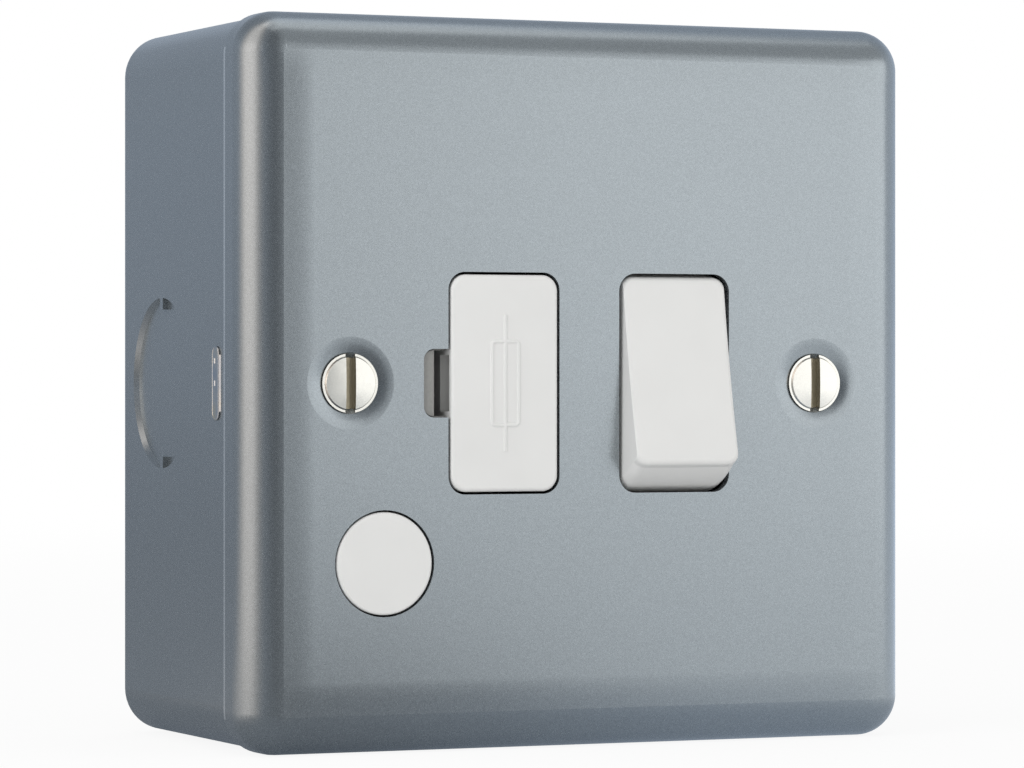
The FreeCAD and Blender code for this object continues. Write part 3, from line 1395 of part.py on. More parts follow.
def box_earth():
    """The earth terminal on the back box's floor, with its screw."""
    half = "(earth_block / 2)"
    across = (f"earth_block_across - {half}", f"earth_block_across + {half}")
    up = (f"{EARTH_BLOCK_UP} - {half}", f"{EARTH_BLOCK_UP} + {half}")
    top = "(box_sheet + earth_block)"
    wire_level = "(box_sheet + 3)"
    brass = plate_body("box_earth_block", [box_outline(across, up)], ("box_sheet", top))
    round_edges(brass, "box_earth_corners", "0.8", along_y)
    wire = bar_across(
        "box_earth_wire", "wire_bore / 2", (f"{across[0]} - 1", f"{across[1]} + 1"), wire_level,
        EARTH_BLOCK_UP,
    )
    tapped = rod("box_earth_tapped", "thread_bore / 2", (wire_level, f"{top} + 1"), "earth_block_across",
                 EARTH_BLOCK_UP)
    head = rod("box_earth_head", "terminal_head / 2 + 0.5", (f"{top} + 0.05", f"{top} + 2"),
               "earth_block_across", EARTH_BLOCK_UP)
    shank = rod("box_earth_shank", "screw_shank / 2", (f"{wire_level} + 1", f"{top} + 1"),
                "earth_block_across", EARTH_BLOCK_UP)
    slot = block("box_earth_slot", ("earth_block_across - 0.45", "earth_block_across + 0.45"),
                 (f"{top} + 1.2", f"{top} + 3"), (f"{EARTH_BLOCK_UP} - 4", f"{EARTH_BLOCK_UP} + 4"))
    screw = without("box_earth_screw", fused("box_earth_screw_blank", head, shank), slot)
    return [without("box_earth_terminal", brass, wire, tapped), screw]


def terminals():
    """The six terminals and their screws."""
    rows = {
        "supply_live_terminal": (LIVE_COLUMN, "1", STRIP_TOP),
        "supply_neutral_terminal": (NEUTRAL_COLUMN, "1", STRIP_TOP),
        "supply_earth_terminal": (EARTH_COLUMN, "1", FLOOR),
        "load_live_terminal": (LIVE_COLUMN, "-1", STRIP_TOP),
        "load_neutral_terminal": (NEUTRAL_COLUMN, "-1", STRIP_TOP),
        "load_earth_terminal": (EARTH_COLUMN, "-1", FLOOR),
    }
    blocks, screws = [], []
    for name, (column, sign, floor) in rows.items():
        blocks.append(terminal(name, column, sign, floor))
        screws.append(
            pan_screw(
                f"{name}_screw", column, f"{sign} * terminal_middle", "terminal_head / 2",
                "(screw_shank / 2)", ("housing_rear + 0.2", f"{FLOOR} - 0.1"),
                "split_level - wire_bore / 2 - wire_cover - 0.5",
            )
        )
    return [*blocks, group("terminal_screws", screws)]


def module_screws():
    """The two screws that join the mechanism's mouldings."""
    return group(
        "module_screws",
        [
            pan_screw(
                f"{end}_module_screw", BETWEEN_WELLS, f"{sign} * module_screw_up",
                "(module_screw_size / 2 + boss_wall)", "(module_screw_size / 2 - 0.05)",
                ("housing_rear - pan_head", "housing_rear"), "split_level + 7",
            )
            for end, sign in (("upper", "1"), ("lower", "-1"))
        ],
    )


def build():
    """Every sub-part, in the order it is put together."""
    parts = [
        back_box(),
        fixing_lug("left", -1),
        fixing_lug("right", 1),
        *box_earth(),
        front_plate(),
        plate_screw("left", "-1"),
        plate_screw("right", "1"),
        *studs_and_nuts(),
        front_moulding(),
        rear_housing(),
        module_screws(),
        outlet_blank(),
        *cord_clamp(),
        *terminals(),
        earth_strap(),
        fixed_contact("live", LIVE_COLUMN),
        fixed_contact("neutral", NEUTRAL_COLUMN),
        live_link(),
        load_live_link(),
        neutral_link(),
        moving_contact("live"),
        moving_contact("neutral"),
        *contact_tips(),
        rocker(),
        plungers(),
        springs(),
        fuse_carrier(),
        *cartridge_fuse(),
    ]
    doc.recompute()
    return parts


def check(parts):
    """Stop if anything in the document failed or a sub-part has no sound solid."""
    for item in doc.Objects:
        if "Invalid" in item.State or "Error" in item.State:
            raise RuntimeError(f"{item.Label} failed: {item.State}")
    for part in parts:
        if part.Shape.isNull() or not part.Shape.isValid() or not part.Shape.Solids:
            raise RuntimeError(f"{part.Label} has no sound solid")


sub_parts = build()
check(sub_parts)
os.makedirs("parts", exist_ok=True)
for sub_part in sub_parts:
    sub_part.Shape.exportStep(f"parts/{sub_part.Label}.step")
    print(f"{sub_part.Label}: {len(sub_part.Shape.Solids)} solids, {sub_part.Shape.Volume:.1f} mm3")
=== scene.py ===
import math

import bpy
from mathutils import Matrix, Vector


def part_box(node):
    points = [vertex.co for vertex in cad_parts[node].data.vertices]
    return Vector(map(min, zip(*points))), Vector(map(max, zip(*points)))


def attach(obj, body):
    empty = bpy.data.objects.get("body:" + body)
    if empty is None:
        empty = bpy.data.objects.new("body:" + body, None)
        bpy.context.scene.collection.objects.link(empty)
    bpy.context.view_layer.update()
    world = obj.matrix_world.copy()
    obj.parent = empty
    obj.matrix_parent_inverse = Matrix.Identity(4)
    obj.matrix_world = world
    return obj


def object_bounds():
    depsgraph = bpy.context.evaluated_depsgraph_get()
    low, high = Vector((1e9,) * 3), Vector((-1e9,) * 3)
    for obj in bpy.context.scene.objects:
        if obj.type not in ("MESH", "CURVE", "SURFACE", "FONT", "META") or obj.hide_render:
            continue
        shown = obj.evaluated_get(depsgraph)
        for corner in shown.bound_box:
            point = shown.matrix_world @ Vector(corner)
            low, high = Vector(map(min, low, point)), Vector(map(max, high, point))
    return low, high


bl_info = {
    "name": "Fused Spur Unit Looks",
    "version": (1, 0, 0),
    "blender": (4, 5, 0),
    "location": "3D View > Sidebar > Spur Unit",
    "description": "Paint, mouldings, bright metal, markings, threads and studio of a metal-clad spur unit",
    "category": "Object",
}

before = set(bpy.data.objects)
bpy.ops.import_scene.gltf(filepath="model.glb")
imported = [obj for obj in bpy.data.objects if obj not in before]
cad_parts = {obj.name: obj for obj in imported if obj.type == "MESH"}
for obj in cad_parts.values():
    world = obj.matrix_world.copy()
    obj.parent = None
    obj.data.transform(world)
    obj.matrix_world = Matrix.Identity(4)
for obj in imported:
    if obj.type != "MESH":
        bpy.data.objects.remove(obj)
CAD_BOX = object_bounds()
PLATE_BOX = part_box("front_plate")

# How many millimetres a metre has.
MILLIMETRES = 1000.0
# How far inside the plate's outer faces a place still counts as on them, in metres.
OUTER_MARGIN = 0.0001
WHITE = (1.0, 1.0, 1.0, 1.0)

PAINTED = ("back_box", "front_plate")
WHITE_MOULDINGS = ("fuse_carrier", "rocker", "outlet_blank", "cord_clamp")
GREY_MOULDINGS = ("front_moulding", "rear_housing", "rocker_plungers")
PLATE_SCREWS = ("left_plate_screw", "right_plate_screw")
PLAIN_SCREWS = ("module_screws", "cord_clamp_screws", "terminal_screws", "box_earth_screw", "stud_nuts")
ZINC_PARTS = ("left_fixing_lug", "right_fixing_lug", "plate_studs")
BRASS_PARTS = (
    "box_earth_terminal", "supply_live_terminal", "supply_neutral_terminal", "supply_earth_terminal",
    "load_live_terminal", "load_neutral_terminal", "load_earth_terminal", "earth_strap",
    "live_fixed_contact", "neutral_fixed_contact", "live_link", "load_live_link", "neutral_link",
    "live_moving_contact", "neutral_moving_contact", "upper_fuse_cap", "lower_fuse_cap",
)
SILVER_PARTS = ("moving_contact_tips", "fixed_contact_tips")


def linear(code):
    """Turn an sRGB hex colour into the linear colour that a shader works in."""
    parts = [int(code[start:start + 2], 16) / 255 for start in (1, 3, 5)]
    return tuple(part / 12.92 if part <= 0.04045 else ((part + 0.055) / 1.055) ** 2.4 for part in parts)


def shade(colour, factor):
    """A lighter or darker version of a linear colour, with full opacity."""
    return (*(min(1.0, part * factor) for part in colour), 1.0)


def per_metre(millimetres):
    """The scale that makes a pattern's features this many millimetres across."""
    return MILLIMETRES / millimetres


def node(tree, kind, inputs=None, **settings):
    """Add a node, set its properties, and fill or link its inputs."""
    made = tree.nodes.new(kind)
    for key, setting in settings.items():
        setattr(made, key, setting)
    for key, source in (inputs or {}).items():
        if isinstance(source, bpy.types.NodeSocket):
            tree.links.new(source, made.inputs[key])
        else:
            made.inputs[key].default_value = source
    return made


def maths(tree, operation, *sources):
    """The result of one maths node."""
    return node(tree, "ShaderNodeMath", dict(enumerate(sources)), operation=operation).outputs[0]


def ramp(tree, factor, stops):
    """Colours along a factor, from pairs of position and linear colour."""
    made = node(tree, "ShaderNodeValToRGB", {"Fac": factor})
    elements = made.color_ramp.elements
    while len(elements) < len(stops):
        elements.new(0.5)
    for element, (position, colour) in zip(elements, stops):
        element.position = position
        element.color = colour
    return made.outputs["Color"]


def rise(tree, source, start, end, low=0.0, high=1.0, way="SMOOTHSTEP"):
    """Go from one value, called low, to another, called high, while a source goes from start to end."""
    return node(
        tree, "ShaderNodeMapRange",
        {"Value": source, "From Min": start, "From Max": end, "To Min": low, "To Max": high},
        interpolation_type=way,
    ).outputs["Result"]


def spread(tree, factor, low, high):
    """Stretch a factor from 0..1 to a range of its own."""
    return rise(tree, factor, 0.0, 1.0, low, high, "LINEAR")


def blend(tree, factor, first, second):
    """The first colour where the factor is 0, the second where it is 1, and mixtures between."""
    made = node(tree, "ShaderNodeMix", {"Factor": factor, 6: first, 7: second}, data_type="RGBA")
    return made.outputs[2]


def axes(tree, place):
    """The X, Y and Z of a place."""
    return node(tree, "ShaderNodeSeparateXYZ", {"Vector": place}).outputs


def length(tree, vector):
    """How long a vector is."""
    return node(tree, "ShaderNodeVectorMath", {0: vector}, operation="LENGTH").outputs["Value"]


def scaled(tree, vector, factor):
    """A vector or colour times a factor."""
    made = node(tree, "ShaderNodeVectorMath", {0: vector, "Scale": factor}, operation="SCALE")
    return made.outputs["Vector"]


def clouds(tree, place, millimetres, detail=2.0):
    """Soft noise with patches of a real size."""
    made = node(
        tree, "ShaderNodeTexNoise", {"Vector": place, "Scale": per_metre(millimetres), "Detail": detail}
    )
    return made.outputs["Fac"]


def grains(tree, place, millimetres):
    """Cells of a real size, each with its own random value."""
    made = node(tree, "ShaderNodeTexVoronoi", {"Vector": place, "Scale": per_metre(millimetres)})
    return node(tree, "ShaderNodeSeparateColor", {"Color": made.outputs["Color"]}).outputs["Red"]


def stretched(tree, place, scale):
    """Object coordinates pulled out along an axis."""
    return node(tree, "ShaderNodeMapping", {"Vector": place, "Scale": scale}).outputs["Vector"]


def relief(tree, height, millimetres, normal=None):
    """Turn a height pattern into a bump of a real depth, on top of another."""
    inputs = {"Height": height, "Distance": millimetres / MILLIMETRES}
    if normal is not None:
        inputs["Normal"] = normal
    return node(tree, "ShaderNodeBump", inputs).outputs["Normal"]


def material(name):
    """A new material: its tree, its shader and its object coordinates."""
    made = bpy.data.materials.new(name)
    made.use_nodes = True
    tree = made.node_tree
    tree.nodes.clear()
    shader = node(tree, "ShaderNodeBsdfPrincipled")
    node(tree, "ShaderNodeOutputMaterial", {"Surface": shader.outputs["BSDF"]})
    return made, tree, shader, node(tree, "ShaderNodeTexCoord").outputs["Object"]


def finish(tree, shader, colour, rough, normal, **constants):
    """Link a surface's patterns to its shader and set the values that are the same all over."""
    tree.links.new(colour, shader.inputs["Base Color"])
    tree.links.new(rough, shader.inputs["Roughness"])
    tree.links.new(normal, shader.inputs["Normal"])
    for name, setting in constants.items():
        shader.inputs[name.replace("_", " ")].default_value = setting


def edge_crown(tree, place):
    """Height of the plate's face, which the pressing draws down softly beside its rolled edges."""
    details = bpy.context.scene.spur_details
    inner = details.crown_start - details.crown_width
    at = axes(tree, place)
    beyond = [
        maths(tree, "MAXIMUM", maths(tree, "SUBTRACT", maths(tree, "ABSOLUTE", at[axis]), inner), 0.0)
        for axis in "XZ"
    ]
    outside = node(tree, "ShaderNodeCombineXYZ", {"X": beyond[0], "Y": beyond[1]}).outputs["Vector"]
    # The slope is steepest at its middle, which is where the roll starts.
    return rise(tree, length(tree, outside), start=0.0, end=details.crown_width * 2.0, low=1.0, high=0.0)


def sheared_edge(tree, place):
    """One along the edge round the plate's back, and nought elsewhere."""
    details = bpy.context.scene.spur_details
    at = axes(tree, place)
    out = maths(tree, "MAXIMUM", *(maths(tree, "ABSOLUTE", at[axis]) for axis in "XZ"))
    # The box behind is narrower than the plate, so only the plate reaches so far out.
    outer = maths(tree, "GREATER_THAN", out, details.plate_half - OUTER_MARGIN)
    ahead = maths(tree, "SUBTRACT", details.plate_back, at["Y"])
    band = rise(tree, ahead, start=details.rim_width, end=details.rim_width / 2)
    return maths(tree, "MULTIPLY", outer, band)


def metallic_powder_coat(colour):
    """Silver-blue powder coat on steel."""
    made, tree, shader, place = material("metallic_grey_powder_coat")
    # Single metal flakes, which give the fine sparkle of the face.
    flakes = grains(tree, place, 0.14)
    # Clusters of flakes, which make the sparkle uneven from one millimetre to the next.
    clusters = clouds(tree, place, 0.32, 2.0)
    # Slow drift of the spray's thickness over the whole pressing.
    drift = clouds(tree, place, 22.0)
    slower = maths(tree, "MULTIPLY_ADD", clusters, 0.4, maths(tree, "MULTIPLY", drift, 0.15))
    mixed = maths(tree, "MULTIPLY_ADD", flakes, 0.45, slower)
    tone = ramp(
        tree, mixed, [(0.2, shade(colour, 0.91)), (0.5, shade(colour, 1.0)), (0.8, shade(colour, 1.1))]
    )
    # The coat is thin on the sheared edge round the plate's back, and the pale line painted there is partly
    # that bare steel and partly a painted highlight of the white backdrop's reflection.
    thin_coat_highlight = linear("#CCD1D4")
    tone = blend(tree, sheared_edge(tree, place), tone, shade(thin_coat_highlight, 1.0))
    rough = spread(tree, clusters, 0.23, 0.3)
    # Three reliefs lie on each other: the slope beside the rolled edges, the lightly pitted skin that a
    # baked powder keeps, and the grain of its flakes.
    drop = bpy.context.scene.spur_details.crown_drop * MILLIMETRES
    crown = relief(tree, edge_crown(tree, place), drop)
    skin = relief(tree, clouds(tree, place, 1.1, 1.0), 0.003, crown)
    normal = relief(tree, mixed, 0.0014, skin)
    finish(tree, shader, tone, rough, normal, Metallic=0.82, Coat_Weight=0.25, Coat_Roughness=0.22)
    return made


def white_thermoset(colour):
    """Hard white moulding compound with a dull polish."""
    made, tree, shader, place = material("smooth_white_thermoset")
    # Flow clouds of the compound, barely darker than the rest.
    flow = clouds(tree, place, 7.0)
    tone = ramp(tree, flow, [(0.3, shade(colour, 0.975)), (0.7, shade(colour, 1.0))])
    # The tool's fine polish, seen as a soft break-up of each highlight.
    polish = clouds(tree, place, 0.18, 3.0)
    rough = spread(tree, polish, 0.3, 0.42)
    normal = relief(tree, polish, 0.0012, relief(tree, clouds(tree, place, 2.4, 1.0), 0.004))
    finish(tree, shader, tone, rough, normal, Specular_IOR_Level=0.45)
    return made


def grey_thermoset(colour):
    """Grey moulding compound, duller than the white."""
    made, tree, shader, place = material("matte_grey_thermoset")
    details = bpy.context.scene.spur_details
    # Filler fibres in the compound, which speckle it.
    fibres = clouds(tree, stretched(tree, place, (1.0, 0.45, 1.0)), 0.3, 4.0)
    tone = ramp(tree, fibres, [(0.3, shade(colour, 0.9)), (0.7, shade(colour, 1.06))])
    # Painted shade: the grey moulding is painted darker towards the floor of its deep pockets, where shade
    # falls.
    painted_shade = linear("#242423")
    along = axes(tree, place)["Y"]
    deep = rise(tree, along, start=details.pocket_rim, end=details.pocket_floor, high=0.85, way="LINEAR")
    tone = blend(tree, deep, tone, shade(painted_shade, 1.0))
    rough = spread(tree, fibres, 0.44, 0.6)
    finish(tree, shader, tone, rough, relief(tree, fibres, 0.004))
    return made


def turned_nickel(colour):
    """Nickel plate over a turned and slotted screw head."""
    made, tree, shader, place = material("nickel_plated_turned_steel")
    details = bpy.context.scene.spur_details
    at = axes(tree, place)
    # Distance from the nearer screw's axis. Both screws stand equally far from the middle.
    across = maths(tree, "SUBTRACT", maths(tree, "ABSOLUTE", at["X"]), details.screw_place)
    squares = [maths(tree, "MULTIPLY", side, side) for side in (across, at["Z"])]
    radius = maths(tree, "SQRT", maths(tree, "ADD", *squares))
    # Tool marks of the lathe: rings 0.13 mm apart.
    turns = maths(tree, "SINE", maths(tree, "MULTIPLY", radius, 2 * math.pi * per_metre(0.13)))
    rings = spread(tree, turns, 0.0, 1.0)
    scuffs = clouds(tree, place, 0.4, 4.0)
    # The slot's floor turns browner and darker, and less metallic, over a small depth, in patches.
    depth = rise(
        tree, at["Y"], start=details.slot_floor - details.darkening_depth, end=details.slot_floor, way="LINEAR"
    )
    slot_darkening = maths(tree, "MULTIPLY", depth, spread(tree, clouds(tree, place, 0.5, 3.0), 0.65, 1.0))
    pale_brown, dark_brown = linear("#BDB49C"), linear("#8A8068")
    tone = ramp(
        tree, slot_darkening, [(0.0, shade(colour, 1.0)), (0.5, shade(pale_brown, 1.0)), (0.95, shade(dark_brown, 1.0))]
    )
    rough = spread(tree, scuffs, 0.17, 0.25)
    normal = relief(tree, rings, 0.0003, relief(tree, scuffs, 0.0006))
    finish(tree, shader, tone, rough, normal)
    tree.links.new(spread(tree, slot_darkening, 1.0, 0.15), shader.inputs["Metallic"])
    return made


def plain_nickel(colour):
    """Nickel plate of the small screws and nuts."""
    made, tree, shader, place = material("nickel_plated_steel")
    # Barrel plating leaves soft patches and small knocks.
    patches = clouds(tree, place, 1.3, 4.0)
    tone = ramp(tree, patches, [(0.3, shade(colour, 0.88)), (0.7, shade(colour, 1.05))])
    rough = spread(tree, patches, 0.22, 0.38)
    finish(tree, shader, tone, rough, relief(tree, clouds(tree, place, 0.25, 3.0), 0.002), Metallic=1.0)
    return made


def bright_zinc(colour):
    """Zinc plate on pressed and sheared steel."""
    made, tree, shader, place = material("bright_zinc_plated_steel")
    # Rolling lines of the sheet, drawn out along X.
    rolled = clouds(tree, stretched(tree, place, (0.12, 1.0, 1.0)), 0.2, 3.0)
    # Faint blue and straw patches of the passivate.
    passivate = clouds(tree, place, 3.0)
    blue, straw = linear("#C4CCD6"), linear("#DAD4C2")
    tone = ramp(
        tree, passivate, [(0.3, shade(blue, 0.9)), (0.5, shade(colour, 1.0)), (0.7, shade(straw, 0.95))]
    )
    rough = spread(tree, rolled, 0.26, 0.42)
    finish(tree, shader, tone, rough, relief(tree, rolled, 0.003), Metallic=1.0)
    return made


def aged_brass(colour):
    """Brass strip and bar, lightly tarnished."""
    made, tree, shader, place = material("plain_brass")
    # Tarnish that browns the surface in soft patches.
    tarnish = clouds(tree, place, 2.2, 4.0)
    tone = ramp(tree, tarnish, [(0.3, shade(colour, 0.78)), (0.65, shade(colour, 1.04))])
    # Drawing lines along the strips.
    drawn = clouds(tree, stretched(tree, place, (1.0, 1.0, 0.15)), 0.18, 3.0)
    rough = spread(tree, drawn, 0.26, 0.4)
    finish(tree, shader, tone, rough, relief(tree, drawn, 0.002), Metallic=1.0)
    return made


def silver_contact(colour):
    """Silver contact rivets, dulled by arcs."""
    made, tree, shader, place = material("silver_contact_alloy")
    # Pits and soot of switching.
    pits = clouds(tree, place, 0.35, 5.0)
    tone = ramp(tree, pits, [(0.35, shade(colour, 0.72)), (0.6, shade(colour, 1.0))])
    rough = spread(tree, pits, 0.3, 0.5)
    finish(tree, shader, tone, rough, relief(tree, pits, 0.008), Metallic=1.0)
    return made


def spring_steel(colour):
    """Drawn spring wire."""
    made, tree, shader, place = material("drawn_spring_steel")
    # Die lines left by the drawing.
    lines = clouds(tree, place, 0.09, 3.0)
    tone = ramp(tree, lines, [(0.3, shade(colour, 0.75)), (0.7, shade(colour, 1.05))])
    rough = spread(tree, lines, 0.2, 0.34)
    finish(tree, shader, tone, rough, relief(tree, lines, 0.0015), Metallic=1.0)
    return made


def glazed_ceramic(colour):
    """The fuse's ceramic tube under a thin glaze."""
    made, tree, shader, place = material("glazed_fuse_ceramic")
    # Iron specks and pale clouds in the fired body.
    body = clouds(tree, place, 1.6, 4.0)
    tone = ramp(tree, body, [(0.25, shade(colour, 0.86)), (0.6, shade(colour, 1.0))])
    rough = spread(tree, clouds(tree, place, 0.4), 0.16, 0.26)
    normal = relief(tree, body, 0.006)
    finish(tree, shader, tone, rough, normal, Coat_Weight=0.5, Coat_Roughness=0.06)
    return made


def middle_across(name):
    """Where the middle of a CAD part lies along X."""
    low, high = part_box(name)
    return (low.x + high.x) / 2


def dress(finish_made, names):
    """Give CAD parts a material in each of their material slots."""
    for name in names:
        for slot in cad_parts[name].material_slots:
            slot.material = finish_made


def put(name, held):
    """A new object in the scene that holds a mesh, curve, lamp or camera."""
    item = bpy.data.objects.new(name, held)
    bpy.context.scene.collection.objects.link(item)
    return item


def settle(name, mesh, finish_made, body):
    """Make an object of a mesh and let it ride on a body."""
    mesh.name = name
    mesh.materials.clear()
    mesh.materials.append(finish_made)
    for face in mesh.polygons:
        face.use_smooth = True
    item = put(name, mesh)
    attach(item, body)
    return item


def plain_mesh(item):
    """The evaluated object as a mesh of its own, with the object it came from removed."""
    bpy.context.view_layer.update()
    evaluated = item.evaluated_get(bpy.context.evaluated_depsgraph_get())
    mesh = bpy.data.meshes.new_from_object(evaluated)
    bpy.data.objects.remove(item)
    return mesh


def bead(name, paths, radius):
    """A round bead along paths, each a list of points and whether it closes."""
    curve = bpy.data.curves.new(name, "CURVE")
    curve.dimensions = "3D"
    curve.bevel_depth = radius
    curve.bevel_resolution = 3
    curve.use_fill_caps = True
    for points, closed in paths:
        spline = curve.splines.new("POLY")
        spline.points.add(len(points) - 1)
        for spot, point in zip(spline.points, points):
            spot.co = (*point, 1.0)
        spline.use_cyclic_u = closed
    return plain_mesh(put(name, curve))


def lips(side, details, places):
    """Flat bright lips that a punch raises. Each place gives a lip's foot along X, its crest along Y, and
    its two ends along Z."""
    points, faces = [], []
    for foot, crest, start, end in places:
        first = len(points)
        outline = ((foot, crest - details.lip_wide), (foot + side * details.lip_high, crest), (foot, crest))
        points += [(across, along, up) for up in (start, end) for across, along in outline]
        for face in ((0, 1, 2), (5, 4, 3), (0, 3, 4, 1), (1, 4, 5, 2), (2, 5, 3, 0)):
            faces.append([first + corner for corner in (face if side < 0 else reversed(face))])
    mesh = bpy.data.meshes.new("lips")
    mesh.from_pydata(points, [], faces)
    return mesh


def rounded_box(width, height, radius, steps=6):
    """Points round a rectangle with rounded corners, as pairs about its middle."""
    points = []
    for quarter, (side, end) in enumerate(((1, 1), (-1, 1), (-1, -1), (1, -1))):
        centre = Vector((side * (width / 2 - radius), end * (height / 2 - radius)))
        for step in range(steps + 1):
            angle = math.pi / 2 * (quarter + step / steps)
            points.append(centre + radius * Vector((math.cos(angle), math.sin(angle))))
    return points


def outer_face(name, side):
    """Where a CAD part ends along X, at the left (side -1) or at the right (side 1)."""
    low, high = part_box(name)
    return low.x if side < 0 else high.x


def lug_burr(name, side, details):
    """The bright burr round the end of a lug's tab, which is the front part of the lug."""
    radius = details.bare_edge / 2
    # The burr's axis lies inside the tab's end, so that it stands out by less than its radius.
    wall = outer_face(name, side) - side * 0.6 * radius
    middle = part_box(name)[0].y + details.tab_thick / 2
    rim = rounded_box(details.tab_thick, details.tab_long, details.tab_round)
    return bead(f"{name}_burr", [([(wall, middle + spot.x, spot.y) for spot in rim], True)], radius)


def lip_places(name, side, details):
    """The lip along the front of a lug's slot, and two stake marks on the end of its tab."""
    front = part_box(name)[0].y
    half = details.tab_long / 2 - details.tab_round
    foot = outer_face(name, side) - side * details.lip_high / 2
    crest = front + details.tab_thick / 2 + details.lip_wide / 2
    stake = details.stake_wide / 2
    marks = [(foot, crest, up - stake, up + stake) for up in (0.0, details.stake_up)]
    return [(outer_face("back_box", side), front, -half, half), *marks]


def thread_tree():
    """A node tree that winds a thread of a given size at every point of its mesh."""
    tree = bpy.data.node_groups.new("screw_thread", "GeometryNodeTree")
    tree.is_modifier = True
    tree.interface.new_socket("Geometry", in_out="INPUT", socket_type="NodeSocketGeometry")
    for name in ("Core Radius", "Pitch", "Length", "Crest"):
        socket = tree.interface.new_socket(name, in_out="INPUT", socket_type="NodeSocketFloat")
        socket.subtype = "DISTANCE"
    tree.interface.new_socket("Finish", in_out="INPUT", socket_type="NodeSocketMaterial")
    tree.interface.new_socket("Geometry", in_out="OUTPUT", socket_type="NodeSocketGeometry")
    given = node(tree, "NodeGroupInput").outputs
    turns = maths(tree, "DIVIDE", given["Length"], given["Pitch"])
    spiral = node(
        tree, "GeometryNodeCurveSpiral",
        {
            "Resolution": 20, "Rotations": turns, "Start Radius": given["Core Radius"],
            "End Radius": given["Core Radius"], "Height": given["Length"],
        },
    )
    crest = node(tree, "GeometryNodeCurvePrimitiveCircle", {"Resolution": 4, "Radius": given["Crest"]})
    ridge = node(
        tree, "GeometryNodeCurveToMesh",
        {"Curve": spiral.outputs["Curve"], "Profile Curve": crest.outputs["Curve"], "Fill Caps": True},
    )
    stood = node(
        tree, "GeometryNodeInstanceOnPoints",
        {
            "Points": given["Geometry"], "Instance": ridge.outputs["Mesh"],
            "Rotation": (math.pi / 2, 0.0, 0.0),
        },
    )
    real = node(tree, "GeometryNodeRealizeInstances", {"Geometry": stood.outputs["Instances"]})
    painted = node(
        tree, "GeometryNodeSetMaterial",
        {"Geometry": real.outputs["Geometry"], "Material": given["Finish"]},
    )
    node(tree, "NodeGroupOutput", {"Geometry": painted.outputs["Geometry"]})
    return tree


def threads(name, starts, sizes, finish_made):
    """Wind threads that start at the given places and run towards the face."""
    seeds = bpy.data.meshes.new(f"{name}_starts")
    seeds.from_pydata(starts, [], [])
    item = put(f"{name}_starts", seeds)
    tree = bpy.data.node_groups.get("screw_thread") or thread_tree()
    modifier = item.modifiers.new("thread", "NODES")
    modifier.node_group = tree
    for socket in tree.interface.items_tree:
        if socket.in_out == "INPUT" and socket.name in sizes:
            modifier[socket.identifier] = sizes[socket.name]
        elif socket.in_out == "INPUT" and socket.name == "Finish":
            modifier[socket.identifier] = finish_made
    return settle(name, plain_mesh(item), finish_made, "housing")


def softbox(name, azimuth, elevation, distance, width, height, level, tint):
    """A rectangular lamp that faces the object, as bright as its level to the eye. Its azimuth runs from
    the front to the right, and both angles are in degrees."""
    lamp = bpy.data.lights.new(name, "AREA")
    lamp.color = tint
    lamp.shape = "RECTANGLE"
    lamp.size, lamp.size_y = width, height
    lamp.energy = level * math.pi * width * height
    item = put(name, lamp)
    turn, climb = math.radians(azimuth), math.radians(elevation)
    out = Vector((math.sin(turn) * math.cos(climb), -math.cos(turn) * math.cos(climb), math.sin(climb)))
    item.location = out * distance
    item.rotation_euler = out.to_track_quat("Z", "Y").to_euler()
    item.visible_camera = False
    return item


# The cool tint of the room, which the floor beside the object reflects too.
COOL_LIGHT = linear("#DCEBFF")


def bearing(degrees):
    """Where an angle from the front, to the right, lies on the studio's ramp."""
    return (degrees + 180.0) / 360.0


def room_tones(tree, way):
    """What a reflection meets round the object, from where it lies: a warm strip of light at the left,
    a dark gap in front, and a broad pale wall at the right."""
    ahead = maths(tree, "MULTIPLY", way["Y"], -1.0)
    turn = maths(tree, "ARCTAN2", way["X"], ahead)
    factor = maths(tree, "MULTIPLY_ADD", turn, 1 / (2 * math.pi), 0.5)
    cool, warm, plain = COOL_LIGHT, linear("#FFF2E9"), linear("#F2F6FA")
    # The angle from the front to the right in degrees, and the tint and brightness that lie there.
    levels = (
        (-180, cool, 0.32), (-150, cool, 0.28), (-122, cool, 0.32), (-107, warm, 0.65), (-97, warm, 1.25),
        (-66, warm, 1.25), (-55, warm, 0.45), (-42, cool, 0.24), (-22, cool, 0.1), (-2, cool, 0.08),
        (14, plain, 0.35), (25, plain, 0.45), (60, plain, 0.5), (120, cool, 0.55), (160, cool, 0.4),
    )
    # A ramp holds colours up to 1, so it works at half strength.
    half = ramp(tree, factor, [(bearing(angle), shade(tint, level / 2)) for angle, tint, level in levels])
    return scaled(tree, half, 2.0)


def studio_world(studio):
    """A white backdrop for the camera, pale fill light, and a room that shiny parts reflect."""
    world = bpy.data.worlds.new("pale_studio")
    world.use_nodes = True
    tree = world.node_tree
    tree.nodes.clear()
    way = axes(tree, node(tree, "ShaderNodeTexCoord").outputs["Generated"])
    # The room darkens over the lamps' upper edges.
    height = rise(tree, way["Z"], start=0.25, end=0.6, low=1.5, high=1.1)
    room = scaled(tree, room_tones(tree, way), height)
    paths = node(tree, "ShaderNodeLightPath").outputs
    shiny = maths(tree, "MAXIMUM", paths["Is Glossy Ray"], paths["Is Transmission Ray"])
    fill = node(tree, "ShaderNodeBackground", {"Color": WHITE, "Strength": studio.fill_level})
    seen = node(tree, "ShaderNodeBackground", {"Color": room, "Strength": 1.0})
    backdrop = node(tree, "ShaderNodeBackground", {"Color": WHITE, "Strength": 1.0})
    lit = node(tree, "ShaderNodeMixShader", {0: shiny, 1: fill.outputs[0], 2: seen.outputs[0]})
    whole = node(
        tree, "ShaderNodeMixShader", {0: paths["Is Camera Ray"], 1: lit.outputs[0], 2: backdrop.outputs[0]}
    )
    node(tree, "ShaderNodeOutputWorld", {"Surface": whole.outputs[0]})
    return world


